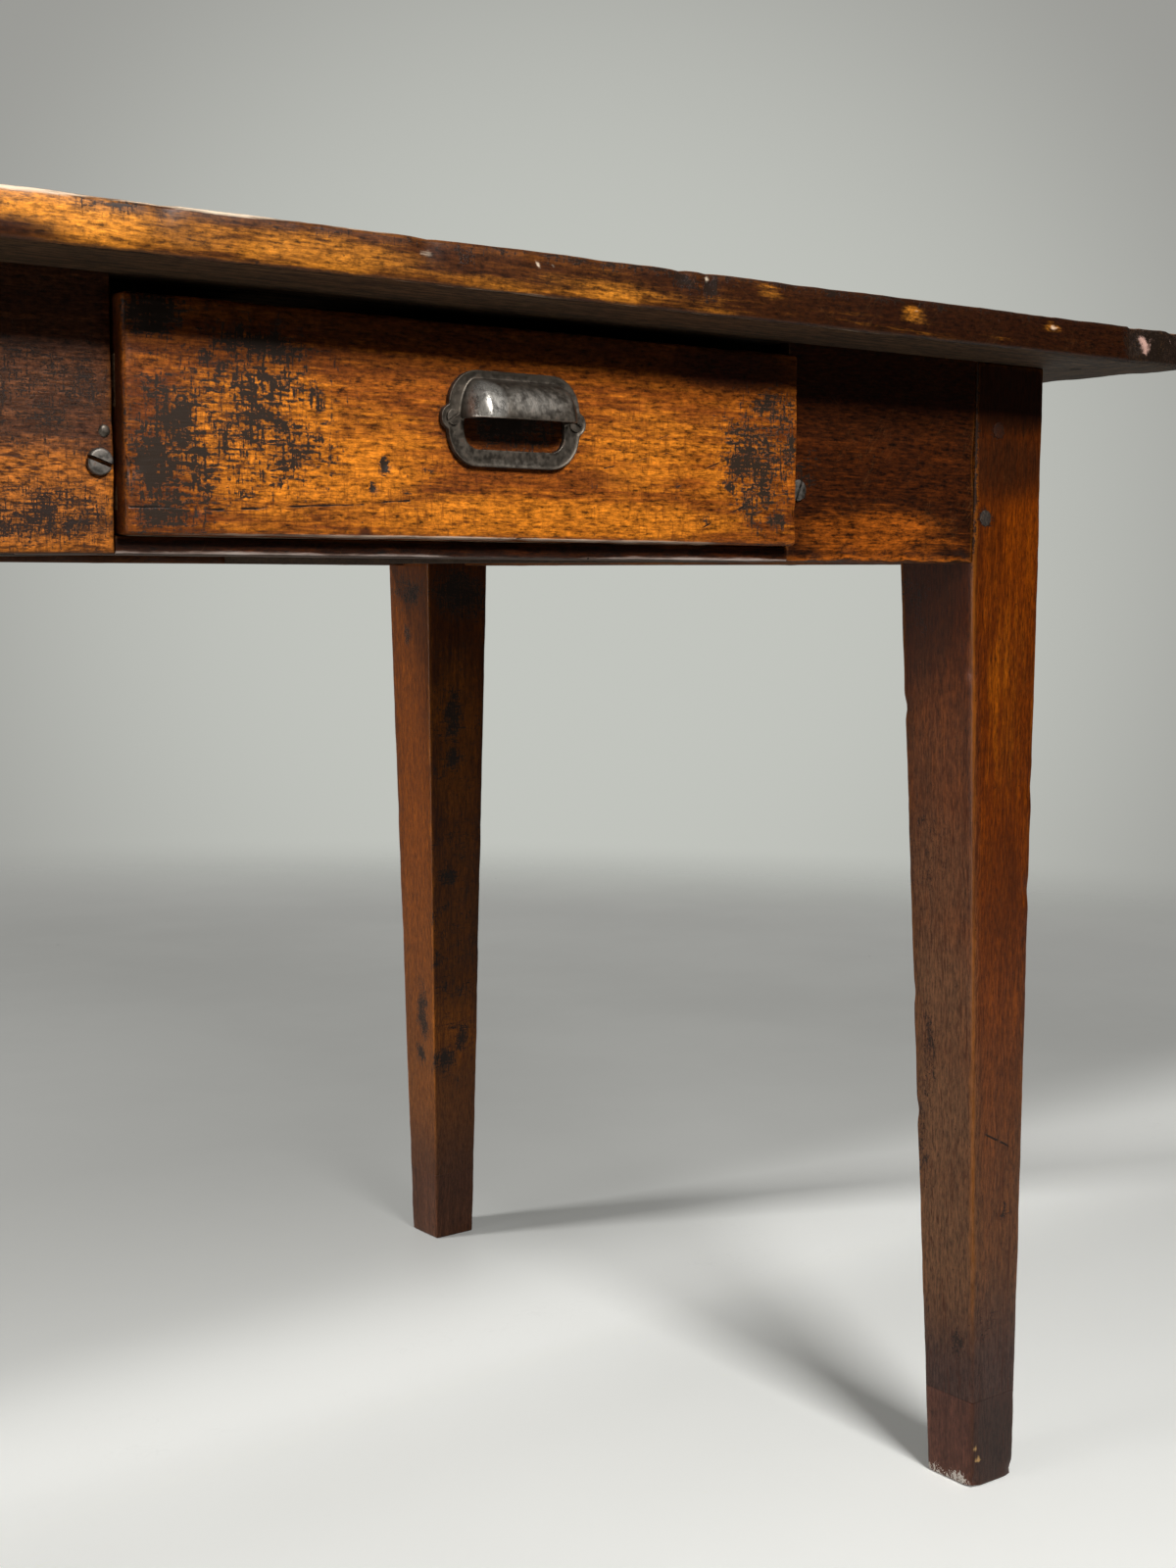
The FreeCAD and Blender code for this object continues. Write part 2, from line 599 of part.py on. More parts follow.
front_width = f"{DRAWER_RIGHT} - {DRAWER_LEFT}"
front = outline_body("drawer_front_blank", "XZ_Plane", [
    ("0", "0"), (front_width, "0"), (front_width, "front_height"), ("0", "front_height")], "front_thick")
place(front, DRAWER_LEFT, f"{DRAWER_FACE} + front_thick", DRAWER_LOW)
doc.recompute()
slab = front.Tip
face_edges = [f"Edge{number}" for number, edge in enumerate(slab.Shape.Edges, start=1)
              if edge.CenterOfMass.y < slab.Shape.BoundBox.YMax - NEAR]
arrises = front.newObject("PartDesign::Fillet", "drawer_front_arrises")
arrises.Base = (slab, face_edges)
bind(arrises, "Radius", "front_round")

# Cup pull: a framed plate with two ears, a finger window and a hood over it
PULL_X = f"(({DRAWER_LEFT} + {DRAWER_RIGHT}) / 2 + pull_shift)"
PULL_Z = f"({DRAWER_LOW} + front_height / 2 + pull_rise)"
PULL_LOW = f"({PULL_Z} - pull_height / 2)"
PULL_TOP = f"({PULL_Z} + pull_height / 2)"
HOOD_TOP = f"({PULL_TOP} - hood_top)"


def around(middle, width):
    return f"{middle} - ({width}) / 2", f"{middle} + ({width}) / 2"


def upright_edge(blank):
    """Accepts the edges that run front to back at a block's four corners."""
    doc.recompute()
    limits = blank.Shape.BoundBox
    return lambda middle: abs(middle.y - limits.Center.y) < NEAR


def hood_form(name, x, y, z, radius):
    """A block rounded above, in front and at its ends, as the hood is outside and inside."""
    block = box(f"{name}_block", x, y, z)
    doc.recompute()
    limits = block.Shape.BoundBox
    return rounded(name, block, radius,
                   lambda middle: middle.y < limits.YMax - NEAR and middle.z > limits.ZMin + NEAR)


def pull_screw(side):
    """A countersunk slotted screw through an ear of the pull."""
    x = f"({PULL_X} + {side} * ear_spread)"
    z = PULL_Z
    top = f"({DRAWER_FACE} - pull_plate)"
    head = cone("pull_screw_head", "y", x, top, z, "pull_screw_head", "pull_screw_shank",
                "pull_screw_head - pull_screw_shank")
    shank = rod("pull_screw_shank", "y", x, top, z, "pull_screw_shank", "pull_screw_length")
    slot = box("pull_screw_slot", (f"{x} - pull_screw_head", f"{x} + pull_screw_head"),
               (top, f"{top} + slot_depth"), (f"{z} - slot_width / 2", f"{z} + slot_width / 2"))
    return cut("pull_screw", fuse("pull_screw_blank", [head, shank]), [slot])


pull_screw_blanks = [pull_screw(side) for side in (-1, 1)]
pull_screws = finish(group("pull_screws", pull_screw_blanks))
plate_y = (f"{DRAWER_FACE} - pull_plate", DRAWER_FACE)
plate = box("pull_plate_block", around(PULL_X, "pull_width"), plate_y, (PULL_LOW, PULL_TOP))
plate = rounded("pull_plate_rounded", plate, SIZES["pull_corner"], upright_edge(plate))
ears = [rod("pull_ear", "y", f"{PULL_X} + {side} * ear_spread", plate_y[0], PULL_Z,
            "ear_radius", "pull_plate") for side in (-1, 1)]
window = box("pull_window_block", around(PULL_X, "window_width"), plate_y,
             (f"{PULL_LOW} + window_border", f"{HOOD_TOP} - hood_wall"))
window = rounded("pull_window", window, SIZES["window_corner"], upright_edge(window))
hood = hood_form("pull_hood", around(PULL_X, "hood_width"), (f"{DRAWER_FACE} - hood_depth", DRAWER_FACE),
                 (f"{HOOD_TOP} - hood_height", HOOD_TOP), SIZES["hood_round"])
hollow = hood_form("pull_hollow", around(PULL_X, "hood_width - 2 * hood_wall"),
                   (f"{DRAWER_FACE} - hood_depth + hood_wall", DRAWER_FACE),
                   (f"{PULL_LOW} + window_border", f"{HOOD_TOP} - hood_wall"),
                   SIZES["hood_round"] - SIZES["hood_wall"])
casting = fuse("drawer_pull_blank", [plate, hood] + ears)
finish(cut("drawer_pull", casting, [window, hollow, pull_screws]))
finish(cut("drawer_front", front, side_blanks + [bottom, pull_screws]))

# Check every object, then write each piece to its own file
doc.recompute()
failed = [item.Label for item in doc.Objects if "Invalid" in item.State or "Error" in item.State]
if failed:
    raise SystemExit(f"failed: {failed}")
for piece in finished:
    if piece.Shape.isNull() or not piece.Shape.isValid() or not piece.Shape.Solids:
        raise SystemExit(f"bad shape: {piece.Label}")
for piece in finished:
    piece.Shape.exportStep(f"parts/{piece.Label}.step")
    print(f"{piece.Label}: {len(piece.Shape.Solids)} solid(s), {piece.Shape.Volume / 1000:.1f} cm3")
print(f"{len(finished)} nodes")
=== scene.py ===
# %% [markdown]
# # An old farmhouse table
# The table is a long planked top with breadboard ends on four tapered legs. Its front holds one drawer
# with an iron cup pull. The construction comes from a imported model, which this lesson loads as a fixed
# frame. The lesson then models the worn outer pieces again by hand, gives every piece its finish, and
# lights the table as in a studio.

# %% Load the frame
import contextlib
import math
from types import SimpleNamespace
import bmesh
import bpy
import numpy as np
from mathutils import Matrix, Vector


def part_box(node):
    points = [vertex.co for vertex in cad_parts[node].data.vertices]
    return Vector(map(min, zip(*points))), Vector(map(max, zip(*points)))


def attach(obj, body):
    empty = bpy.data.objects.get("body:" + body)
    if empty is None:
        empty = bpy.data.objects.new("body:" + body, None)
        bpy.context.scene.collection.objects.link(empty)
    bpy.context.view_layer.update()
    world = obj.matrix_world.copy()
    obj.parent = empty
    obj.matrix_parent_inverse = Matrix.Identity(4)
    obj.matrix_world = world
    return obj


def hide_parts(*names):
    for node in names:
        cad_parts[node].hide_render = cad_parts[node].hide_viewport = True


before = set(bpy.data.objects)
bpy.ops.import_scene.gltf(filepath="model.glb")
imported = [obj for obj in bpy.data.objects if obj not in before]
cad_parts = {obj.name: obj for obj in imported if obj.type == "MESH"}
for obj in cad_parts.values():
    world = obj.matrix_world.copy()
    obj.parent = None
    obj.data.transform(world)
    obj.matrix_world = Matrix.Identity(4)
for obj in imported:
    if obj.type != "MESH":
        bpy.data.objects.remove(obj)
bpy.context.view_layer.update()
MM = 0.001

# %% [markdown]
# ## Working by hand, in code
# At the bench a joiner marks a face or an arris, then planes, rounds or dents it. In edit mode that is a
# selection and an operator. The helpers below select by place or direction, so that each later step reads
# as one hand movement. Every block is added at its real size and place, and the place is then put into
# its mesh.


# %% Helpers for adding blocks
def only(piece):
    """Makes one object the selected and active one."""
    bpy.ops.object.select_all(action="DESELECT")
    piece.select_set(True)
    bpy.context.view_layer.objects.active = piece
    return piece


def added(name, operator, **shape):
    """Adds a primitive, names it, and puts its place and size into its mesh."""
    bpy.ops.object.select_all(action="DESELECT")
    operator(**shape)
    piece = bpy.context.object
    piece.name = name
    piece.data.name = name
    bpy.ops.object.transform_apply(location=True, rotation=True, scale=True)
    return piece


def block(name, low, high):
    """A block between two corners."""
    low, high = Vector(low), Vector(high)
    return added(name, bpy.ops.mesh.primitive_cube_add, size=1, location=(low + high) / 2, scale=high - low)


def rod(name, middle, radius, depth, sides=32):
    """A round rod along Y."""
    return added(name, bpy.ops.mesh.primitive_cylinder_add, vertices=sides, radius=radius, depth=depth,
                 location=middle, rotation=(math.radians(90), 0, 0))


# %% Helpers for selecting and slicing
@contextlib.contextmanager
def editing(piece, kind="EDGE", wanted=lambda part: True):
    """Edit mode with those vertices, edges or faces selected that wanted accepts."""
    only(piece)
    bpy.ops.object.mode_set(mode="EDIT")
    bpy.ops.mesh.select_mode(type=kind)
    bpy.ops.mesh.select_all(action="DESELECT")
    mesh = bmesh.from_edit_mesh(piece.data)
    parts = {"VERT": mesh.verts, "EDGE": mesh.edges, "FACE": mesh.faces}[kind]
    for part in parts:
        part.select_set(wanted(part))
    mesh.select_flush_mode()
    bmesh.update_edit_mesh(piece.data)
    yield
    bpy.ops.object.mode_set(mode="OBJECT")


STRAIGHT = 0.96
SHORT = 0.7


def middle_of(edge):
    return (edge.verts[0].co + edge.verts[1].co) / 2


def along(edge, axis):
    """Whether an edge runs along an axis, 0 to 2."""
    run = edge.verts[1].co - edge.verts[0].co
    return abs(run[axis]) > STRAIGHT * run.length


def slices(piece, axis, spacing):
    """Cuts a board across an axis into slices about spacing thick."""
    def to_cut(edge):
        return along(edge, axis) and edge.calc_length() > spacing * SHORT

    places = [vertex.co[axis] for vertex in piece.data.vertices]
    count = max(2, round((max(places) - min(places)) / spacing))
    first = max(1, round(math.sqrt(count)))
    for cuts in (first - 1, round(count / first) - 1):
        if cuts > 0:
            with editing(piece, "EDGE", to_cut):
                bpy.ops.mesh.subdivide(number_cuts=cuts)


# %% Helpers for modifiers, joining and measuring
def modify(piece, kind, **settings):
    """Adds a modifier with its settings."""
    modifier = piece.modifiers.new(kind.lower(), kind)
    for key, value in settings.items():
        setattr(modifier, key, value)


def apply_all(piece):
    only(piece)
    for modifier in list(piece.modifiers):
        bpy.ops.object.modifier_apply(modifier=modifier.name)


def combine(piece, other, operation):
    """Unites a piece with another, or cuts the other out of it. The other is used up."""
    modify(piece, "BOOLEAN", operation=operation, object=other, solver="EXACT")
    apply_all(piece)
    bpy.data.objects.remove(other, do_unlink=True)


def joined(name, pieces):
    """Joins pieces into one object."""
    only(pieces[0])
    for piece in pieces[1:]:
        piece.select_set(True)
    bpy.ops.object.join()
    pieces[0].name = name
    pieces[0].data.name = name
    return pieces[0]


def smooth(piece, degrees=40):
    only(piece)
    bpy.ops.object.shade_smooth_by_angle(angle=math.radians(degrees))


def points_of(piece):
    """The places of a mesh's vertices as rows."""
    rows = np.zeros(len(piece.data.vertices) * 3)
    piece.data.vertices.foreach_get("co", rows)
    return rows.reshape(-1, 3)


def tell(pieces):
    """Prints the size of each piece in millimetres, and how many faces it has."""
    for piece in pieces:
        points = points_of(piece) / MM
        size = " x ".join(f"{length:.1f}" for length in points.max(axis=0) - points.min(axis=0))
        print(f"{piece.name}: {size} mm, {len(piece.data.polygons)} faces")


# %% [markdown]
# ## Wear
# Two centuries of knees, chairs and mops round the arrises of a table unevenly. The wear is made as
# displacement: a cloud texture pushes the skin in, strongly along the arrises and very little on the flat
# faces. The distance of each point from the nearest arris is kept as an attribute, because the finish
# needs it too, where wax is rubbed away. Knocks are pressed in one by one, and stains are painted as soft
# oval patches.


# %% Helpers for arrises
def soft_step(value, low, high):
    """0 below low and 1 above high, with a smooth rise between."""
    share = np.clip((value - low) / (high - low), 0, 1)
    return share * share * (3 - 2 * share)


SHARP = math.radians(20)


def none_spared(middle):
    return False


def worn_edge(edge, spare):
    """Whether an edge is an arris that wears: a sharp edge whose middle is not spared."""
    return edge.calc_face_angle(0) > SHARP and not spare(middle_of(edge))


def arris_lines(piece, spare):
    """The arrises of a block that wear, as rows of two end points."""
    mesh = bmesh.new()
    mesh.from_mesh(piece.data)
    sharp = [edge for edge in mesh.edges if worn_edge(edge, spare)]
    lines = np.array([[edge.verts[0].co[:], edge.verts[1].co[:]] for edge in sharp])
    mesh.free()
    return lines


def arris_nearness(points, lines, reach):
    """1 on the nearest arris, falling to 0 at reach from it."""
    best = np.full(len(points), 1e9)
    for start, end in lines:
        run = end - start
        share = np.clip((points - start) @ run / (run @ run), 0, 1)
        best = np.minimum(best, np.linalg.norm(points - start - share[:, None] * run, axis=1))
    return 1 - soft_step(best, 0, reach)


def keep_values(piece, name, values):
    """Stores one number per vertex for the finish to read."""
    attribute = piece.data.attributes.get(name) or piece.data.attributes.new(name, "FLOAT", "POINT")
    attribute.data.foreach_set("value", values.astype(np.float32))


# %% Helpers for displacement
def clouds(name, grain_size, contrast=1.0, brightness=1.0):
    texture = bpy.data.textures.new(name, "CLOUDS")
    texture.noise_scale = grain_size
    texture.noise_depth = 3
    texture.contrast = contrast
    texture.intensity = brightness
    return texture


DENTS = clouds("dents", 0.028, contrast=3.0, brightness=1.15)
RIPPLE = clouds("ripple", 0.011, contrast=1.4)
SWELL = clouds("swell", 0.16)
RIPPLE_SHARE = 0.3
LEVELS = 10


def push(piece, texture, depth, group="", middle=0.5):
    """Displaces the skin by a texture, inwards and outwards of its middle value."""
    modify(piece, "DISPLACE", texture=texture, texture_coords="LOCAL", strength=depth, mid_level=middle,
           vertex_group=group)


def wear(piece, lines, reach, dents, swell):
    """Dents the arrises of a piece, and makes its faces a little uneven."""
    nearness = arris_nearness(points_of(piece), lines, reach)
    keep_values(piece, "arris", nearness)
    group = piece.vertex_groups.new(name="arris")
    for level in range(1, LEVELS + 1):
        chosen = np.nonzero((nearness > (level - 1) / LEVELS) & (nearness <= level / LEVELS))[0]
        group.add([int(number) for number in chosen], level / LEVELS, "REPLACE")
    push(piece, DENTS, dents, "arris", middle=1.0)
    push(piece, RIPPLE, dents * RIPPLE_SHARE, "arris", middle=0.9)
    push(piece, SWELL, swell)
    apply_all(piece)
    piece.vertex_groups.remove(piece.vertex_groups["arris"])


# %% Helpers for knocks, stains and boards
def knock(piece, knocks):
    """Presses the skin in. Each knock is a place, a reach and a depth, in millimetres."""
    for place, reach, depth in knocks:
        points = points_of(piece)
        normals = np.zeros(len(piece.data.vertices) * 3)
        piece.data.vertices.foreach_get("normal", normals)
        press = 1 - soft_step(np.linalg.norm(points - np.array(place) * MM, axis=1), 0, reach * MM)
        points -= normals.reshape(-1, 3) * press[:, None] * depth * MM
        piece.data.vertices.foreach_set("co", points.ravel())
        piece.data.update()


FADE_START, FADE_END = 0.2, 1.4
WEAR_REACH = 5


def paint(piece, name, patches):
    """Paints soft oval patches into an attribute: middle and half sizes in millimetres, and a strength."""
    points = points_of(piece) / MM
    values = np.zeros(len(points))
    for middle, half, strength in patches:
        far = np.linalg.norm((points - np.array(middle)) / np.array(half), axis=1)
        values = np.maximum(values, strength * (1 - soft_step(far, FADE_START, FADE_END)))
    keep_values(piece, name, values)


def finish_board(piece, grid, round_by, dents, swell, spare=none_spared):
    """Rounds the arrises of a block, slices it to a grid and dents it. Arrises at joints can be spared."""
    lines = arris_lines(piece, spare)
    with editing(piece, "EDGE", lambda edge: worn_edge(edge, spare)):
        bpy.ops.mesh.bevel(offset=round_by, segments=3, affect="EDGES", clamp_overlap=True)
    for axis in range(3):
        slices(piece, axis, grid)
    wear(piece, lines, WEAR_REACH * round_by, dents, swell)
    smooth(piece)
    return piece


def board(name, low, high, **worn):
    """A worn board between two corners."""
    return finish_board(block(name, low, high), **worn)


# %% [markdown]
# ## Table top
# Four planks lie side by side with hairline seams, and a breadboard end closes them across each end. The
# planks could stay plain boxes, since the camera sees little of them, but the front edge is the part
# nearest the eye and it is worn wavy. So each board is modelled with a fine grid, and the knocks that
# show on the front edge are pressed in one by one.

# %% Planks and breadboard ends
PLANK_NAMES = [f"top_plank_{number}" for number in range(1, 5)]
CLEAT_NAMES = ["breadboard_end_left", "breadboard_end_right"]
SEAM = 0.2 * MM
cleat_left, cleat_right = [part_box(name) for name in CLEAT_NAMES]
top_boards = {}


def at_cleat(middle):
    """Whether an arris lies at a breadboard joint, which was planed flush and keeps it sharp."""
    return abs(abs(middle.x) - cleat_right[0].x) < MM


for name in PLANK_NAMES:
    low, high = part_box(name)
    low.x = cleat_left[1].x + SEAM
    high.x = cleat_right[0].x - SEAM
    grid, round_by = (4.5 * MM, 2.6 * MM) if name == PLANK_NAMES[0] else (7 * MM, 1.2 * MM)
    top_boards[name] = board(name + "_worn", low, high, grid=grid, round_by=round_by, dents=0.45 * MM,
                             swell=0.4 * MM, spare=at_cleat)
for name in CLEAT_NAMES:
    top_boards[name] = board(name + "_worn", *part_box(name), grid=4.5 * MM, round_by=2.4 * MM, dents=0.7 * MM,
                             swell=0.4 * MM, spare=at_cleat)
front_plank, right_cleat = top_boards["top_plank_1"], top_boards["breadboard_end_right"]
knock(front_plank, [
    ((78, -400, 757), 8, 0.8), ((150, -400, 756), 8, 0.7), ((210, -400, 755), 8, 1.2),
    ((275, -400, 754), 6, 1.0), ((285, -400, 752), 5, 0.8), ((365, -400, 756), 8, 1.3),
    ((383, -400, 755), 8, 1.6), ((538, -400, 752), 9, 1.4), ((657, -400, 755), 9, 1.6),
    ((590, -400, 750), 6, 0.8), ((-120, -400, 757), 10, 1.2), ((-340, -400, 755), 12, 1.2),
    ((-560, -400, 757), 11, 1.4), ((440, -400, 741), 8, 0.7), ((620, -400, 741), 8, 0.7),
    ((120, -400, 741), 10, 0.8)])
knock(right_cleat, [((734, -400, 751), 14, 3.0), ((776, -400, 757), 9, 2.0)])
tell(top_boards.values())

# %% [markdown]
# ## Legs and their tips
# Each leg is square under the top and tapers on its two inner faces towards the floor. A taper is a
# resize of the end face about a point: that point is the one which the resize leaves where it is, so the
# outer faces stay almost upright. The tips were spliced on later. They are smoother and redder, and each
# is a short block with the same taper.


# %% Helpers for tapers
def fixed_point(source, target):
    """The scale and the fixed point that carry one stretch onto another."""
    scale = (target[1] - target[0]) / (source[1] - source[0])
    return scale, (target[0] - scale * source[0]) / (1 - scale)


def taper_end(piece, height, source, target):
    """Resizes the end face at a height so that its section goes from source to target."""
    scale_x, pivot_x = fixed_point((source[0].x, source[1].x), (target[0].x, target[1].x))
    scale_y, pivot_y = fixed_point((source[0].y, source[1].y), (target[0].y, target[1].y))
    with editing(piece, "FACE", lambda face: abs(face.calc_center_median().z - height) < 0.1 * MM):
        bpy.ops.transform.resize(value=(scale_x, scale_y, 1), center_override=(pivot_x, pivot_y, height))


# %% Legs
CORNERS = ("front_left", "front_right", "back_left", "back_right")
FOOT = 40 * MM
FOOT_INSET = 1 * MM
JOINT = 0.1 * MM
apron_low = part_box("back_apron")[0].z
legs, tips = {}, {}
for corner in CORNERS:
    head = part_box(f"leg_{corner}")
    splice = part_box(f"leg_tip_{corner}")
    leg = block(f"leg_{corner}_worn", *head)
    with editing(leg, "FACE"):
        bpy.ops.mesh.bisect(plane_co=(0, 0, apron_low), plane_no=(0, 0, 1))
    taper_end(leg, head[0].z, head, splice)
    legs[corner] = finish_board(leg, grid=4 * MM, round_by=1.5 * MM, dents=0.35 * MM, swell=0.5 * MM,
                                spare=lambda middle: middle.z < head[0].z + MM)
    foot = (Vector(), Vector())
    for axis in (0, 1):
        outer = max(abs(head[0][axis]), abs(head[1][axis])) - FOOT_INSET
        side = math.copysign(1, splice[0][axis])
        foot[0][axis], foot[1][axis] = sorted((side * outer, side * (outer - FOOT)))
    tip = block(f"leg_tip_{corner}_worn", splice[0], splice[1] - Vector((0, 0, JOINT)))
    taper_end(tip, 0, splice, foot)
    tips[corner] = finish_board(tip, grid=3 * MM, round_by=1.5 * MM, dents=0.35 * MM, swell=0.2 * MM,
                                spare=lambda middle: middle.z > head[0].z - MM)
near_leg, far_leg, near_tip = legs["front_right"], legs["back_right"], tips["front_right"]
knock(near_leg, [((658, -342, 542), 6, 2.2), ((659, -342, 560), 12, 0.8), ((659, -301, 486), 7, 0.9),
                 ((660, -289, 459), 8, 0.9), ((720, -342, 400), 12, 0.9), ((720, -342, 470), 16, 0.8),
                 ((662, -283, 520), 10, 1.4), ((664, -286, 330), 12, 1.6), ((669, -293, 250), 10, 1.2)])
knock(far_leg, [((660, 281, 300), 8, 1.4), ((660, 281, 430), 10, 1.4), ((720, 281, 250), 10, 1.2)])
knock(legs["front_left"], [((-658, -342, 500), 9, 1.8), ((-720, -342, 350), 10, 1.4)])
knock(legs["back_left"], [((-720, 342, 380), 10, 1.6), ((-660, 342, 450), 9, 1.2)])
knock(near_tip, [((680, -341, 2), 9, 2.0), ((719, -341, 4), 8, 1.6)])
tell([*legs.values(), *tips.values()])

# %% [markdown]
# ## Aprons and drawer rail
# The aprons join the legs under the top. The front is two boards with the drawer between them, and below
# the drawer runs a thin rail that laps behind both boards. The rail starts as a block. A bisect marks
# where it clears the boards, and the two faces behind that line are extruded sideways to make the laps.
# The tenons are inside the legs, so the boards end there.

# %% Aprons
leg_front_left, leg_front_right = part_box("leg_front_left"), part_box("leg_front_right")
inner_x = (leg_front_left[1].x, leg_front_right[0].x)
inner_y = (leg_front_left[1].y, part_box("leg_back_left")[0].y)
opening = (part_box("front_apron_left")[1].x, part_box("front_apron_right")[0].x)
apron_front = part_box("front_apron_left")[0].y
apron_rear, apron_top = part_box("front_apron_left")[1].yz


def beside_opening(middle):
    return min(abs(middle.x - x) for x in opening) < MM


def hidden_arris(middle):
    """Whether an arris lies under the top, or at the opening's rear where a kicker meets the board."""
    at_kicker = beside_opening(middle) and abs(middle.y - apron_rear) < MM
    return at_kicker or abs(middle.z - apron_top) < MM


aprons = {}
for name in ("front_apron_left", "front_apron_right", "back_apron", "end_apron_left", "end_apron_right"):
    low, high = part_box(name)
    if name.startswith("end"):
        low.y, high.y = inner_y
    else:
        low.x, high.x = max(low.x, inner_x[0]), min(high.x, inner_x[1])
    aprons[name] = board(name + "_worn", low, high, grid=4.5 * MM, round_by=1.2 * MM, dents=0.7 * MM,
                         swell=0.3 * MM, spare=hidden_arris)
left_apron, right_apron = aprons["front_apron_left"], aprons["front_apron_right"]
knock(right_apron, [((520, -341, 613), 9, 1.4), ((548, -341, 613), 14, 2.6), ((575, -341, 613), 10, 1.2),
                    ((600, -341, 613), 13, 2.2), ((622, -341, 613), 9, 1.0), ((645, -341, 613), 12, 2.0)])

# %% Drawer rail
rail_low, rail_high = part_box("drawer_rail")
rail = block("drawer_rail_worn", (opening[0], *rail_low.yz), (opening[1], *rail_high.yz))
with editing(rail, "FACE"):
    bpy.ops.mesh.bisect(plane_co=(0, apron_rear, 0), plane_no=(0, 1, 0))
for side, lap in ((-1, opening[0] - rail_low.x), (1, rail_high.x - opening[1])):
    with editing(rail, "FACE",
                 lambda face: face.normal.x * side > 0.9 and face.calc_center_median().y > apron_rear):
        bpy.ops.mesh.extrude_region_move(TRANSFORM_OT_translate={"value": (side * lap, 0, 0)})
aprons["drawer_rail"] = finish_board(rail, grid=4.5 * MM, round_by=0.9 * MM, dents=0.6 * MM, swell=0.2 * MM,
                                     spare=beside_opening)
tell(aprons.values())

# %% [markdown]
# ## Drawer front
# The drawer front stands a finger's width proud of the apron. Its arrises are rounded by hands, and it
# carries the marks that make the table recognisable: black remains of an old finish, brushed and scraped
# crosswise, on gold rubbed wood. The shape is a board like the others on a finer grid, because the marks
# are painted into its vertices.

# %% Drawer front
front_low, front_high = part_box("drawer_front")
FACE_Y = front_low.y / MM
drawer_front = board("drawer_front_worn", front_low, front_high, grid=1.5 * MM, round_by=2.6 * MM,
                     dents=0.4 * MM, swell=0.3 * MM)
knock(drawer_front, [((218, -350.5, 658), 5, 0.9), ((211, -350.5, 647), 4, 0.8), ((116, -350.5, 634), 5, 0.7),
                     ((495, -350.5, 640), 8, 1.0), ((83, -350.5, 652), 8, 0.8), ((300, -350.5, 623), 9, 0.7)])
tell([drawer_front])

# %% [markdown]
# ## Cup pull
# The pull is one iron casting: a framed plate with a small ear at each side, and a hood that leaves a gap
# for the fingers. It is built as a founder's pattern would be, from simple bodies. A rounded plate and
# two ears are united, the field is inset and sunk so that a rim stays, and a window is cut.

# %% Plate of the pull
pull_low, pull_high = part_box("drawer_pull")
pull_mid = (pull_low + pull_high) / 2
PLATE_HALF = 41 * MM
PLATE_THICK = 3.6 * MM
PLATE_CORNER = 18 * MM
RIM = 1.3 * MM
FIELD_DEPTH = 0.8 * MM
EAR = 6.3 * MM
WINDOW_HALF = 31.5 * MM
WINDOW_CORNER = 9 * MM
WINDOW_LOW, WINDOW_HIGH = 667.4 * MM, 699.5 * MM
ear_places = (pull_low.x + EAR, pull_high.x - EAR)
plate_front = pull_high.y - PLATE_THICK
pull = block("cast_cup_pull", (pull_mid.x - PLATE_HALF, plate_front, pull_low.z),
             (pull_mid.x + PLATE_HALF, pull_high.y, pull_high.z))
with editing(pull, "EDGE", lambda edge: along(edge, 1)):
    bpy.ops.mesh.bevel(offset=PLATE_CORNER, segments=12, affect="EDGES")
for ear_x in ear_places:
    ear = rod("ear", (ear_x, pull_high.y - PLATE_THICK / 2, pull_mid.z), EAR, PLATE_THICK)
    combine(pull, ear, "UNION")
with editing(pull, "EDGE"):
    bpy.ops.mesh.dissolve_limited(angle_limit=math.radians(1))
with editing(pull, "FACE", lambda face: face.normal.y < -0.9):
    bpy.ops.mesh.inset(thickness=RIM, depth=0)
    bpy.ops.transform.translate(value=(0, FIELD_DEPTH, 0))
window = block("window", (pull_mid.x - WINDOW_HALF, pull_low.y, WINDOW_LOW),
               (pull_mid.x + WINDOW_HALF, 0, WINDOW_HIGH))
with editing(window, "EDGE", lambda edge: along(edge, 1)):
    bpy.ops.mesh.bevel(offset=WINDOW_CORNER, segments=8, affect="EDGES")
combine(pull, window, "DIFFERENCE")
tell([pull])

# %% [markdown]
# ### Hood of the pull
# The hood is a quarter of a ball, stretched in the middle and given a wall. A voxel remesh then melts the
# bodies into one skin with soft inner corners, like metal from a sand mould, and a fine cloud leaves the
# sand's own grain on it.

# %% Hood of the pull
HOOD_HALF = 34 * MM
HOOD_END = 9.5 * MM
HOOD_LOW, HOOD_HIGH = 682.3 * MM, 702.3 * MM
HOOD_WALL = 2.6 * MM
HOOD_SUNK = 1.5 * MM
hood_back = pull_high.y - HOOD_SUNK
hood = added("hood", bpy.ops.mesh.primitive_uv_sphere_add, segments=64, ring_count=32, radius=1)
with editing(hood, "FACE"):
    bpy.ops.mesh.bisect(plane_co=(0, 0, 0), plane_no=(0, 0, 1), clear_inner=True)
    bpy.ops.mesh.select_all(action="SELECT")
    bpy.ops.mesh.bisect(plane_co=(0, 0, 0), plane_no=(0, 1, 0), clear_outer=True)
    bpy.ops.mesh.select_all(action="SELECT")
    bpy.ops.mesh.bisect(plane_co=(0, 0, 0), plane_no=(1, 0, 0))
    bpy.ops.mesh.select_all(action="SELECT")
    bpy.ops.transform.resize(value=(HOOD_END, hood_back - pull_low.y, HOOD_HIGH - HOOD_LOW),
                             center_override=(0, 0, 0))
for side in (-1, 1):
    with editing(hood, "VERT", lambda vertex: vertex.co.x * side > 0.01 * MM):
        bpy.ops.transform.translate(value=(side * (HOOD_HALF - HOOD_END), 0, 0))
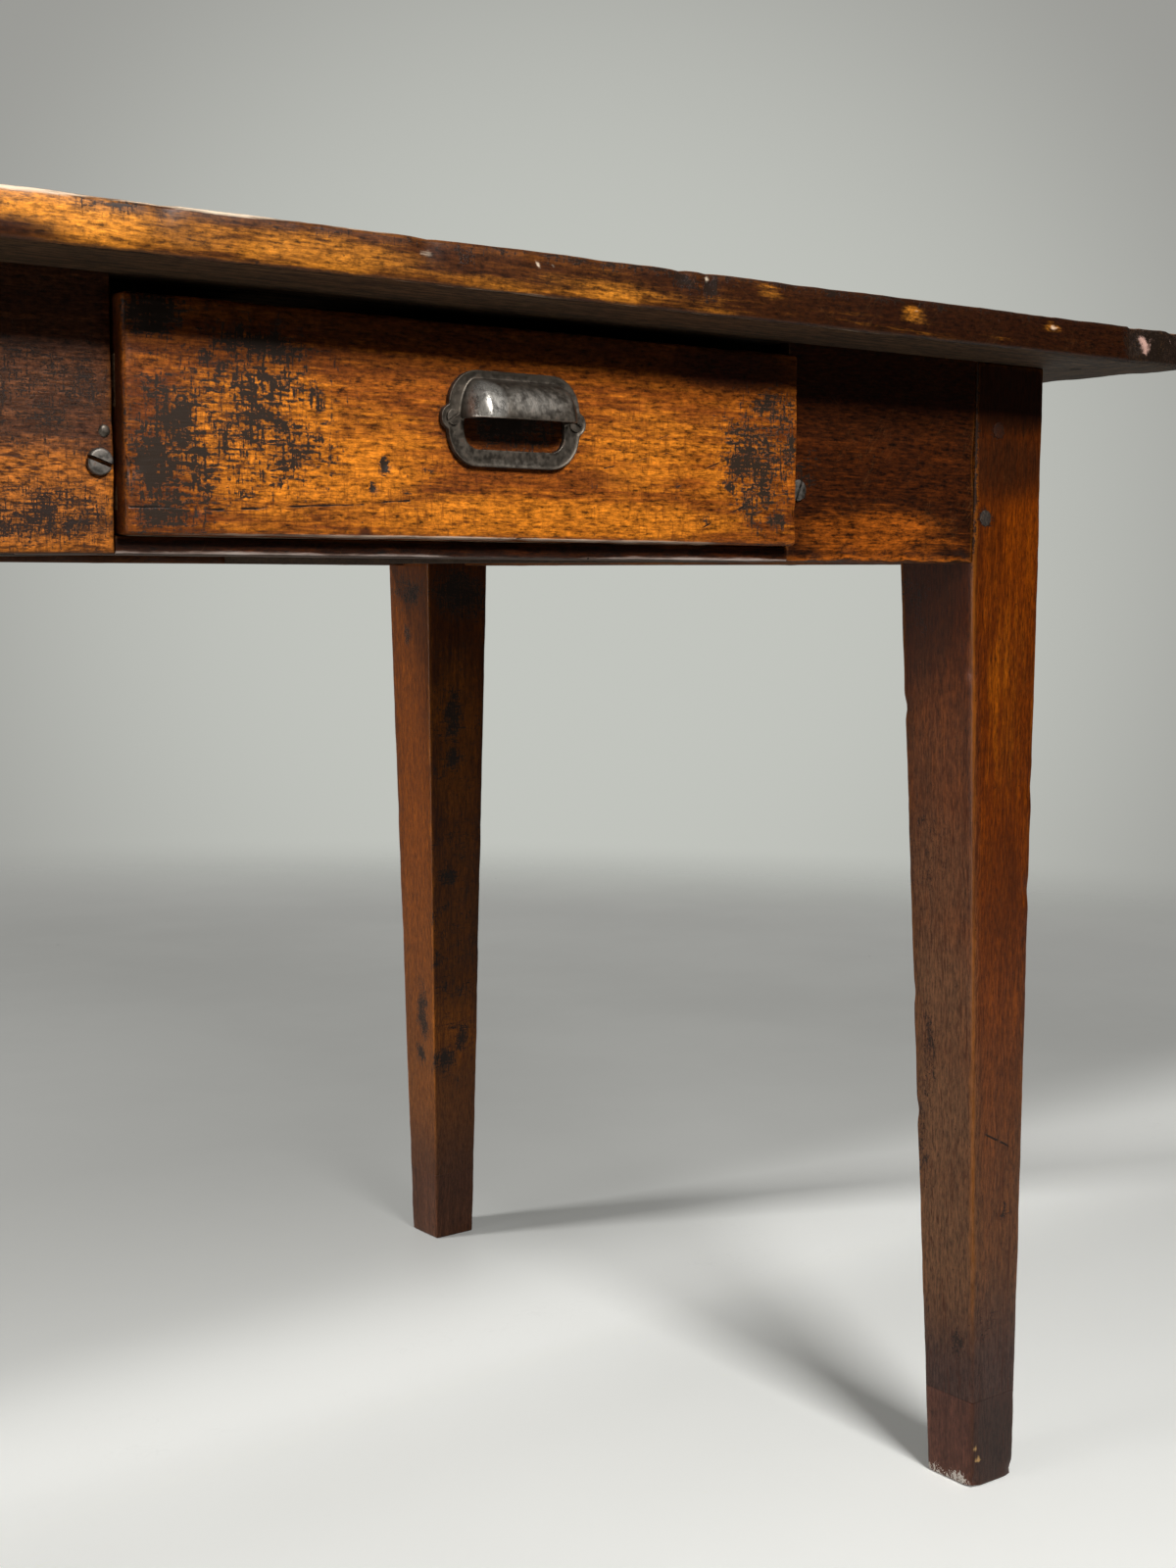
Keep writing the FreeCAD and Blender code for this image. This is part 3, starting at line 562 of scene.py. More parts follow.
with editing(hood, "FACE"):
    bpy.ops.transform.translate(value=(pull_mid.x, hood_back, HOOD_LOW))
modify(hood, "SOLIDIFY", thickness=HOOD_WALL, offset=-1)
apply_all(hood)
pull = joined("cast_cup_pull", [pull, hood])
modify(pull, "REMESH", mode="VOXEL", voxel_size=0.45 * MM)
modify(pull, "SMOOTH", factor=0.5, iterations=4)
apply_all(pull)
push(pull, clouds("sand", 0.0035, contrast=1.2), 0.07 * MM)
apply_all(pull)
smooth(pull, 70)
tell([pull])

# %% [markdown]
# ## Screws
# The slotted screws were driven by hand, so their slots stand at odd angles. Each head is a short rod
# whose front edge is rounded with a bevel, and a turned block cuts the slot.


# %% Screw heads
def screw_head(name, place, radius, rise, crown, degrees, slot):
    """A slotted head: place is the middle of its seat, and it rises towards the front."""
    place = Vector(place)
    seat = 1.5 * MM
    head = rod(name, place - Vector((0, (rise - seat) / 2, 0)), radius, rise + seat, 40)
    front = place.y - rise
    with editing(head, "EDGE", lambda edge: abs(middle_of(edge).y - front) < 0.01 * MM):
        bpy.ops.mesh.bevel(offset=crown, segments=5, affect="EDGES")
    cutter = block(name + "_slot", place + Vector((-1.2 * radius, -rise - MM, -slot / 2)),
                   place + Vector((1.2 * radius, -rise + 1.6 * slot, slot / 2)))
    with editing(cutter, "FACE"):
        bpy.ops.transform.rotate(value=math.radians(degrees), orient_axis="Y", center_override=place)
    combine(head, cutter, "DIFFERENCE")
    smooth(head, 35)
    return head


RUNNER_HEAD = 6.2 * MM
PULL_HEAD = 4 * MM
EAR_INSET = 0.6 * MM
runner_low, runner_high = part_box("runner_screws")
runner_z = (runner_low.z + runner_high.z) / 2
runner_screws = joined("runner_screw_heads", [
    screw_head("runner_screw_left", (runner_low.x + RUNNER_HEAD, apron_front, runner_z), RUNNER_HEAD,
               rise=2.9 * MM, crown=1.4 * MM, degrees=-20, slot=2.0 * MM),
    screw_head("runner_screw_right", (runner_high.x - RUNNER_HEAD, apron_front, runner_z), RUNNER_HEAD,
               rise=2.2 * MM, crown=1.2 * MM, degrees=68, slot=1.4 * MM)])
ear_seat = plate_front + FIELD_DEPTH
ear_screws = (("left", ear_places[0] + EAR_INSET, 33), ("right", ear_places[1] - EAR_INSET, -30))
pull_screws = joined("pull_screw_heads", [
    screw_head(f"pull_screw_{hand}", (x, ear_seat, pull_mid.z), PULL_HEAD, rise=1.2 * MM, crown=0.4 * MM,
               degrees=degrees, slot=1.3 * MM)
    for hand, x, degrees in ear_screws])
tell([runner_screws, pull_screws])

# %% [markdown]
# ## Nail and pegs
# The old nail is a flattened ball, knocked out of round. The pegs of the joints are whittled: ten sides,
# a little proud of the leg. One peg is modelled, and its copies are turned and set into the faces of the
# legs.

# %% Nail and pegs
nail_low, nail_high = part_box("apron_nail")
nail_mid = (nail_low + nail_high) / 2
nail = added("old_nail_head", bpy.ops.mesh.primitive_uv_sphere_add, segments=24, ring_count=14,
             radius=3.1 * MM, scale=(1, 0.5, 1.05), location=(nail_mid.x, apron_front, nail_mid.z))
push(nail, RIPPLE, 1.2 * MM)
apply_all(nail)
smooth(nail, 60)

PEG = 5.3 * MM
PEG_NEAR = 10 * MM
PEG_SUNK = 1.9 * MM
peg_model = rod("peg_model", (0, 0, 0), PEG, 5 * MM, 10)
with editing(peg_model, "EDGE", lambda edge: middle_of(edge).y < -2.4 * MM):
    bpy.ops.mesh.bevel(offset=0.7 * MM, segments=2, affect="EDGES")
with editing(peg_model, "FACE", lambda face: face.normal.y < -0.95):
    bpy.ops.mesh.inset(thickness=2 * MM, depth=0)
    bpy.ops.transform.translate(value=(0.3 * MM, -0.25 * MM, 0.2 * MM))
smooth(peg_model, 30)


def set_pegs(name, places, turn):
    """Copies the peg to places, after turning it about Z so that it looks out of the face."""
    made = []
    for number, place in enumerate(places):
        peg = peg_model.copy()
        peg.data = peg_model.data.copy()
        bpy.context.scene.collection.objects.link(peg)
        spin = Matrix.Rotation(math.radians(37 * number), 4, "Y")
        peg.data.transform(Matrix.Translation(place) @ Matrix.Rotation(turn, 4, "Z") @ spin)
        made.append(peg)
    return joined(name, made)


peg_low, peg_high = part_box("front_apron_pegs")
low_z, high_z = peg_low.z + PEG, peg_high.z - PEG
long_pegs = ((inner_x[1] + PEG_NEAR, low_z), (peg_high.x - PEG, high_z))
end_pegs = ((inner_y[1] + PEG_NEAR, low_z), (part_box("end_apron_pegs_right")[1].y - PEG, high_z))
face_y = leg_front_left[0].y + PEG_SUNK
face_x = leg_front_right[1].x - PEG_SUNK
pegs = {}
for hand, y, turn in (("front", face_y, 0), ("back", -face_y, math.pi)):
    pegs[f"{hand}_apron_pegs"] = set_pegs(
        f"{hand}_pegs", [Vector((side * x, y, z)) for side in (-1, 1) for x, z in long_pegs], turn)
for hand, side in (("left", -1), ("right", 1)):
    pegs[f"end_apron_pegs_{hand}"] = set_pegs(
        f"end_pegs_{hand}", [Vector((side * face_x, end * y, z)) for end in (-1, 1) for y, z in end_pegs],
        side * math.pi / 2)
bpy.data.objects.remove(peg_model, do_unlink=True)
tell([nail, *pegs.values()])

# %% [markdown]
# ## Materials of an old waxed table
# Fruitwood shows a fine straight grain with short dark pores. Age adds broad colour bands, dents,
# scratches and worm holes, and wax goes dark in the hollows and thin on the arrises. An effect that
# several finishes use is a node group that puts out a mask or a value. The finishes then choose the
# colours and how much of each effect. The helpers find the node tree by the sockets that they are given.


# %% Helpers for nodes and sums
def is_socket(value):
    return isinstance(value, bpy.types.NodeSocket)


def tree_of(*values):
    """The node tree of the first socket among the values."""
    return next(value.id_data for value in values if is_socket(value))


def add(tree, kind, inputs=None, **settings):
    """Adds a node. Inputs are numbers, colours or other nodes' outputs, by socket name or number."""
    made = tree.nodes.new(kind)
    for key, value in settings.items():
        setattr(made, key, value)
    for key, value in (inputs or {}).items():
        if is_socket(value):
            tree.links.new(value, made.inputs[key])
        else:
            made.inputs[key].default_value = value
    return made


def sum_of(operation):
    """A function that adds a math node for one operation and returns its output."""
    def placed(first, second=0.0, clamp=False):
        inputs = {0: first, 1: second}
        made = add(tree_of(first, second), "ShaderNodeMath", inputs, operation=operation, use_clamp=clamp)
        return made.outputs[0]
    return placed


plus, minus, times, over = map(sum_of, ("ADD", "SUBTRACT", "MULTIPLY", "DIVIDE"))
largest, below, size_of = map(sum_of, ("MAXIMUM", "LESS_THAN", "ABSOLUTE"))


def centred(value, strength):
    """A noise moved to run about zero, times a strength."""
    return times(minus(value, 0.5), strength)


# %% Helpers for vectors, noise and colours
def vector_of(operation, first, second=(0, 0, 0)):
    made = add(tree_of(first, second), "ShaderNodeVectorMath", {0: first, 1: second}, operation=operation)
    return made.outputs["Value" if operation in ("DOT_PRODUCT", "LENGTH") else "Vector"]


def scaled(vector, by):
    made = add(tree_of(vector), "ShaderNodeVectorMath", {0: vector, "Scale": by}, operation="SCALE")
    return made.outputs["Vector"]


def step(value, low, high, first=0.0, last=1.0):
    """A smooth step between two values."""
    stretch = {"Value": value, "From Min": low, "From Max": high, "To Min": first, "To Max": last}
    made = add(tree_of(value), "ShaderNodeMapRange", stretch, interpolation_type="SMOOTHSTEP")
    return made.outputs["Result"]


def mix(share, first, second, blend="MIX"):
    """Mixes two colours. A colour is a socket, or red, green and blue."""
    first, second = [(*colour, 1) if isinstance(colour, tuple) else colour for colour in (first, second)]
    made = add(tree_of(share, first, second), "ShaderNodeMix", {0: share, 6: first, 7: second},
               data_type="RGBA", blend_type=blend, clamp_factor=True)
    return made.outputs[2]


def noise(place, stretch, detail=3.0, rough=0.55):
    """Noise on a place that is scaled by its own amount in each direction."""
    stretched = vector_of("MULTIPLY", place, stretch)
    made = add(tree_of(place), "ShaderNodeTexNoise",
               {"Vector": stretched, "Scale": 1.0, "Detail": detail, "Roughness": rough})
    return made.outputs["Fac"]


def painted(tree, name):
    return add(tree, "ShaderNodeAttribute", attribute_name=name).outputs["Fac"]


# %% Helpers for groups and materials
def group(name, inputs, outputs):
    """A new node group with float inputs (or vectors, where the default is one) and float outputs."""
    tree = bpy.data.node_groups.new(name, "ShaderNodeTree")
    for key, value in inputs.items():
        kind = "NodeSocketVector" if isinstance(value, tuple) else "NodeSocketFloat"
        socket = tree.interface.new_socket(key, in_out="INPUT", socket_type=kind)
        socket.default_value = value
    for key in outputs:
        tree.interface.new_socket(key, in_out="OUTPUT", socket_type="NodeSocketFloat")
    start = tree.nodes.new("NodeGroupInput")
    end = tree.nodes.new("NodeGroupOutput")
    return tree, start.outputs, lambda key, socket: tree.links.new(socket, end.inputs[key])


def place_group(made_group, inputs):
    """Places a node group and returns its outputs."""
    return add(tree_of(*inputs.values()), "ShaderNodeGroup", inputs, node_tree=made_group).outputs


def new_material(name):
    """An empty material, and its node tree."""
    material = bpy.data.materials.new(name)
    material.use_nodes = True
    material.node_tree.nodes.clear()
    return material, material.node_tree


def end_finish(tree, tone, rough, relief, strength, distance, constants):
    """Ends a finish: a bump from the relief, and the shader with constant values on its own sockets."""
    bump = add(tree, "ShaderNodeBump", {"Height": relief, "Strength": strength, "Distance": distance})
    shader = add(tree, "ShaderNodeBsdfPrincipled",
                 {"Base Color": tone, "Roughness": rough, "Normal": bump.outputs[0], **constants})
    add(tree, "ShaderNodeOutputMaterial", {"Surface": shader.outputs[0]})


# %% [markdown]
# ### Grain
# The grain runs along X in this group, and a finish turns its coordinates so that X is the length of the
# board. All bands are noise, stretched along the grain by different amounts: figure is a hand wide,
# streaks a few millimetres, fibres one. Hairlines are the level lines of a much stretched noise. A slow
# drift bends them all a little, as growth rings do.

# %% Grain group
ORIGIN = (0.0, 0.0, 0.0)
GRAIN, inside, out = group("timber grain", {"Place": ORIGIN, "Bend": 0.006},
                           ["Figure", "Streak", "Fibre", "Curl", "Pores", "Lines", "Cloud", "Fleck"])
place = inside["Place"]
drift = centred(noise(place, (2.2, 9, 9), detail=2), inside["Bend"])
sway = add(GRAIN, "ShaderNodeCombineXYZ", {"X": 0.0, "Y": drift, "Z": drift}).outputs[0]
bent = vector_of("ADD", place, sway)
out("Figure", noise(bent, (1.6, 34, 34), detail=3))
out("Streak", noise(bent, (20, 260, 260), detail=6, rough=0.72))
out("Fibre", noise(bent, (110, 700, 700), detail=4, rough=0.7))
out("Curl", noise(bent, (230, 430, 430), detail=4, rough=0.75))
out("Pores", step(noise(bent, (100, 620, 620), detail=2), 0.58, 0.66))
hair = size_of(minus(noise(bent, (5, 260, 260), detail=2), 0.5))
broken = step(noise(bent, (12, 70, 70), detail=3), 0.45, 0.6)
out("Lines", times(broken, step(hair, 0.0, 0.028, 1.0, 0.0)))
out("Cloud", noise(place, (7, 11, 11), detail=4, rough=0.6))
out("Fleck", step(noise(place, (620, 620, 110), detail=2), 0.55, 0.68))
print(f"{GRAIN.name}: {len(GRAIN.nodes)} nodes")

# %% [markdown]
# ### Old finish, brushed and scraped
# The black on the drawer is what is left of an old coat. It was scraped along and across the grain, so
# its edge is made of short strokes in both directions and breaks up into crumbs. Two stretched noises
# give the strokes, a fine one the crumbs, and a painted amount says where the coat is left.

# %% Residue group
RESIDUE, inside, out = group("scraped residue", {"Place": ORIGIN, "Amount": 0.0}, ["Mask", "Film"])
place, amount = inside["Place"], inside["Amount"]
strokes = largest(noise(place, (85, 620, 620), detail=3), noise(place, (720, 720, 115), detail=3))
blots = noise(place, (58, 58, 58), detail=6, rough=0.7)
crumbs = noise(place, (420, 640, 640), detail=3, rough=0.65)
level = plus(plus(times(strokes, 0.42), times(blots, 0.3)), times(crumbs, 0.28))
level = plus(step(level, 0.42, 0.66), amount)
some = step(amount, 0.0, 0.08)
out("Mask", times(some, step(level, 0.95, 1.05)))
out("Film", times(some, step(level, 0.58, 1.05)))
print(f"{RESIDUE.name}: {len(RESIDUE.nodes)} nodes")

# %% [markdown]
# ### Scratches, pits and single cuts
# Fine scratches are the thin level lines of a stretched noise, turned three ways. Worm holes are small
# dark dots, one in a few cells of a Voronoi pattern. A single cut is the distance to a line between two
# points, for the few long marks.

# %% Groups for scratches, holes and cuts
SCRATCHES, inside, out = group("fine scratches", {"Place": ORIGIN}, ["Mask"])
lines = None
for turn in ((0.2, 0.9, 0.3), (0.5, -0.7, -0.4), (1.1, 0.25, 0.9)):
    turned = add(SCRATCHES, "ShaderNodeVectorRotate", {"Vector": inside["Place"], "Rotation": turn},
                 rotation_type="EULER_XYZ").outputs[0]
    near = size_of(minus(noise(turned, (14, 340, 340), detail=1), 0.5))
    here = step(noise(turned, (22, 60, 60), detail=2), 0.55, 0.68)
    line = times(step(near, 0.0, 0.02, 1.0, 0.0), here)
    lines = line if lines is None else largest(lines, line)
out("Mask", lines)

HOLES, inside, out = group("worm holes", {"Place": ORIGIN, "Cells": 60.0, "Share": 0.15, "Radius": 0.06},
                           ["Mask"])
cells = add(HOLES, "ShaderNodeTexVoronoi", {"Vector": inside["Place"], "Scale": inside["Cells"]})
chance = add(HOLES, "ShaderNodeSeparateColor", {"Color": cells.outputs["Color"]}).outputs[0]
chosen = below(chance, inside["Share"])
edge = over(cells.outputs["Distance"], inside["Radius"])
out("Mask", times(chosen, step(edge, 0.7, 1.0, 1.0, 0.0)))

CUT, inside, out = group("single cut", {"Place": ORIGIN, "Start": ORIGIN, "End": (1.0, 0.0, 0.0),
                                        "Width": 0.001}, ["Mask"])
run = vector_of("SUBTRACT", inside["End"], inside["Start"])
way = vector_of("SUBTRACT", inside["Place"], inside["Start"])
share = over(vector_of("DOT_PRODUCT", way, run), vector_of("DOT_PRODUCT", run, run), clamp=True)
away = vector_of("LENGTH", vector_of("SUBTRACT", way, scaled(run, share)))
out("Mask", step(over(away, inside["Width"]), 0.5, 1.0, 1.0, 0.0))
print(", ".join(f"{made.name}: {len(made.nodes)} nodes" for made in (SCRATCHES, HOLES, CUT)))

# %% [markdown]
# ### The waxed wood finish, layer by layer
# A restorer reads such a surface in layers, and the finish is built in the same order. First comes the
# timber itself with its figure, streaks and zones. Painted attributes then steer the wear and some painted
# light: rub is where hands have bared gold wood, another is a brown smear that also carries painted shade
# where the table's own parts shade the wood, and a third is a painted sheen. The fine grain lies over these as
# light and dark.


# %% Layers of timber, rub and grain
def timber_tone(wood):
    """The timber's own colour. Keeps what its last zone leaves of the wood below it."""
    tone = mix(step(wood.bands["Figure"], 0.3, 0.7), wood.dark, wood.middle)
    tone = mix(step(wood.bands["Streak"], 0.42, 0.74), tone, wood.light)
    tone = mix(times(step(wood.bands["Cloud"], 0.35, 0.68), wood.mottle), tone, wood.dark)
    level = add(wood.tree, "ShaderNodeSeparateXYZ", {"Vector": wood.place}).outputs[wood.along]
    for low, high, colour, amount in wood.zones:
        share = times(step(level, low, high), amount)
        tone = mix(share, tone, colour)
        wood.keep = minus(1.0, share)
    return tone


def rubbed_tone(wood, tone):
    """Bare gold where hands rub, a brown smear that also carries painted shade, and a painted sheen."""
    bare = step(plus(painted(wood.tree, "rub"), wood.broken), 0.2, 0.85)
    tone = mix(bare, tone, wood.rub)
    smear_and_shade_share = step(plus(painted(wood.tree, "shade_and_smear"), times(wood.broken, 0.6)), 0.25, 0.9)
    tone = mix(smear_and_shade_share, tone, wood.glaze_tone)
    return mix(painted(wood.tree, "dull"), tone, wood.dull_tone)


def grained_tone(wood, tone):
    """Fibres and curl as light and dark, then pores, hairlines and flecks."""
    bands = wood.bands
    fine = plus(plus(centred(bands["Fibre"], wood.fibre), centred(bands["Curl"], wood.curl)), 0.97)
    fine = largest(fine, 0.12)
    grey = add(wood.tree, "ShaderNodeCombineColor", {"Red": fine, "Green": fine, "Blue": fine}).outputs[0]
    tone = mix(1.0, tone, grey, "MULTIPLY")
    fleck = times(bands["Fleck"], step(bands["Cloud"], 0.35, 0.6))
    for mask, amount in ((bands["Pores"], wood.pores), (bands["Lines"], wood.lines), (fleck, wood.fleck)):
        tone = mix(times(mask, amount), tone, wood.dark)
    return tone


# %% [markdown]
# ### What lies on the wood
# Wax is thin on the arrises, so they show lighter wood. The old coat is left as residue, with a brown film
# around it. Then come the marks: scratches, pale chips, painted highlights and painted reflections along some
# arrises, specks, worm holes and cuts. Top faces are worn by cloths and plates. Undersides stay dull and
# brown, since nobody waxes them, and their greyer tone is partly painted light from the floor below.


# %% Layers of age, marks and faces
HOLE_TONE = (0.008, 0.004, 0.002)
UNDER_DARK, UNDER_LIGHT = (0.008, 0.0045, 0.002), (0.11, 0.062, 0.030)


def aged_tone(wood, tone):
    """Rubbed arrises, and what is left of the old coat. Keeps the coat's mask."""
    arris = step(plus(painted(wood.tree, "arris"), times(wood.broken, 1.3)), 0.6, 1.2)
    strength = times(wood.keep, wood.arris) if wood.zones else wood.arris
    tone = mix(times(arris, strength), tone, wood.arris_tone)
    crumbled = vector_of("MULTIPLY", wood.turned, (wood.crumble,) * 3)
    left = place_group(RESIDUE, {"Place": crumbled, "Amount": painted(wood.tree, "residue")})
    wood.coat = times(left["Mask"], wood.residue)
    tone = mix(times(times(left["Film"], wood.residue), 0.72), tone, wood.film_tone)
    return mix(wood.coat, tone, wood.coat_tone)


def cut_line(wood, start, end, width):
    """The mask of a wandering, broken cut between two points, in millimetres."""
    wander = add(wood.tree, "ShaderNodeTexNoise", {"Vector": wood.place, "Scale": 30.0, "Detail": 2.0})
    wander = scaled(vector_of("SUBTRACT", wander.outputs["Color"], (0.5, 0.5, 0.5)), 0.004)
    line = place_group(CUT, {"Place": vector_of("ADD", wood.place, wander), "Start": [x * MM for x in start],
                             "End": [x * MM for x in end], "Width": width * MM})["Mask"]
    return times(line, step(noise(wood.place, (90, 90, 90), detail=2), 0.36, 0.5))


def marked_tone(wood, tone):
    """Scratches, pale chips and painted highlights, specks, worm holes and cuts. Keeps the masks of scratches
    and holes.
    """
    wood.scratched = times(place_group(SCRATCHES, {"Place": wood.turned})["Mask"], wood.scratch)
    tone = mix(wood.scratched, tone, wood.scratch_tone)
    pale_wear_and_highlight = step(plus(painted(wood.tree, "pale_wear_and_highlight"), times(wood.broken, 0.8)), 0.4, 0.75)
    tone = mix(pale_wear_and_highlight, tone, wood.pale_tone)
    specks = place_group(HOLES, {"Place": wood.turned, "Cells": 230.0, "Share": wood.specks, "Radius": 0.16})
    tone = mix(times(specks["Mask"], 0.6), tone, wood.coat_tone)
    wood.holes = place_group(HOLES, {"Place": wood.place, "Share": wood.worm})["Mask"]
    for cut in wood.cuts:
        wood.holes = largest(wood.holes, cut_line(wood, *cut))
    return mix(wood.holes, tone, HOLE_TONE)


def faced_tone(wood, tone):
    """Worn top faces, and dull undersides whose greyer tone is partly painted light from the floor. Keeps how
    much more matt these are.
    """
    normal = add(wood.tree, "ShaderNodeNewGeometry").outputs["True Normal"]
    facing = add(wood.tree, "ShaderNodeSeparateXYZ", {"Vector": normal}).outputs["Z"]
    under = step(facing, -0.6, -0.9)
    wood.matt = times(under, 0.32)
    if wood.up:
        colour, amount = wood.up
        share = times(step(facing, 0.8, 0.97), amount)
        wood.matt = plus(wood.matt, times(share, 0.2))
        tone = mix(share, tone, mix(wood.bands["Figure"], tone, colour))
    streaks = step(plus(wood.bands["Streak"], wood.bands["Fibre"]), 0.85, 1.2)
    # Undersides: unwaxed wood, greyer in streaks, partly as painted light from the floor below.
    return mix(times(under, wood.under), tone, mix(streaks, UNDER_DARK, UNDER_LIGHT))


# %% [markdown]
# ### The whole finish
# One function runs the layers for every wood. It is given the direction of the grain, four tones (dark,
# middle and light wood, and wood that is rubbed bare) and how strong each effect is, where that differs
# from the usual strength.

# %% Waxed wood
GRAIN_DEPTH = 0.6 * MM
GRAIN_TURNS = {"x": (0, 0, 0), "y": (0, 0, math.radians(-90)), "z": (0, math.radians(90), 0)}
USUAL = {
    "mottle": 0.35, "fibre": 2.4, "curl": 1.5, "pores": 0.5, "lines": 0.5, "fleck": 0.0, "arris": 0.6,
    "residue": 1.0, "crumble": 1.0, "scratch": 0.2, "worm": 0.1, "specks": 0.2, "under": 0.0, "up": None,
    "rough": 0.27, "bump": 0.35, "along": 2, "zones": (), "cuts": (),
    "arris_tone": (0.28, 0.085, 0.006), "coat_tone": (0.011, 0.0065, 0.004),
    "scratch_tone": (0.20, 0.09, 0.03), "pale_tone": (0.55, 0.33, 0.13),
    "glaze_tone": (0.028, 0.007, 0.0015),
}


def waxed_wood(name, grain, tones, settings):
    """A wood finish from its layers."""
    material, tree = new_material(name)
    place = add(tree, "ShaderNodeTexCoord").outputs["Object"]
    turned = add(tree, "ShaderNodeMapping", {"Vector": place, "Rotation": GRAIN_TURNS[grain]}).outputs[0]
    bands = place_group(GRAIN, {"Place": turned})
    broken = plus(centred(bands["Streak"], 1.1), centred(bands["Cloud"], 0.8))
    dark, middle, light, rub = tones
    wood = SimpleNamespace(tree=tree, place=place, turned=turned, bands=bands, broken=broken, dark=dark,
                           middle=middle, light=light, rub=rub,
                           **{"dull_tone": middle, "film_tone": dark, **USUAL, **settings})
    tone = timber_tone(wood)
    for layer in (rubbed_tone, grained_tone, aged_tone, marked_tone, faced_tone):
        tone = layer(wood, tone)
    rough = plus(plus(wood.rough, times(bands["Cloud"], 0.22)), wood.matt, clamp=True)
    relief = plus(times(bands["Streak"], 0.5), times(bands["Fibre"], 0.35))
    relief = plus(relief, times(wood.coat, 0.5))
    relief = minus(relief, times(plus(wood.scratched, wood.holes), 0.6))
    end_finish(tree, tone, rough, relief, wood.bump, GRAIN_DEPTH, {"IOR": 1.45, "Specular IOR Level": 0.2})
    return material


# %% [markdown]
# ### The woods of this table
# The boards were cut from the same kind of tree but aged apart. The drawer is handled most and is the
# goldest, the legs are red brown and fade to grey brown near the floor, and the breadboard ends show dark
# end grain. The timbers inside were never waxed, so they are dull and rough.

# %% Settings that several woods share
APRON = {"mottle": 0.4, "arris": 0.3, "under": 0.5, "scratch": 0.15}
PLAIN_TONES = ((0.045, 0.012, 0.002), (0.10, 0.026, 0.004), (0.16, 0.045, 0.008), (0.25, 0.065, 0.01))
LEG = {"mottle": 0.3, "worm": 0.1, "scratch": 0.06}
TIP = {"mottle": 0.3, "arris": 0.05, "worm": 0.02, "scratch": 0.06}
WORN_UP = ((0.26, 0.095, 0.024), 0.75)
TOP = {"mottle": 0.3, "arris": 0.15, "under": 1.0, "residue": 0.8, "fleck": 0.25, "scratch": 0.08,
       "up": WORN_UP}
DRY = {"mottle": 0.4, "arris": 0.0, "residue": 0.0, "scratch": 0.15, "rough": 0.62, "bump": 0.5,
       "pores": 0.35}
DRY_TONES = ((0.09, 0.052, 0.027), (0.17, 0.105, 0.056), (0.24, 0.155, 0.085), (0.3, 0.2, 0.11))
DRAWER_CUTS = [
    ((81, -350.5, 634), (148, -350.5, 634.5), 0.8), ((148, -350.5, 634.5), (232, -350.5, 641), 0.7),
    ((405, -350.5, 656), (462, -350.5, 675), 0.5), ((370, -350.5, 633), (398, -350.5, 643), 0.5),
    ((423, -350.5, 631), (455, -350.5, 644), 0.6), ((354, -350.5, 661), (404, -350.5, 672), 0.4),
    ((391, -350.5, 678), (414, -350.5, 686), 0.4)]
print(f"{len(USUAL)} usual strengths and tones, {len(DRAWER_CUTS)} cuts on the drawer")

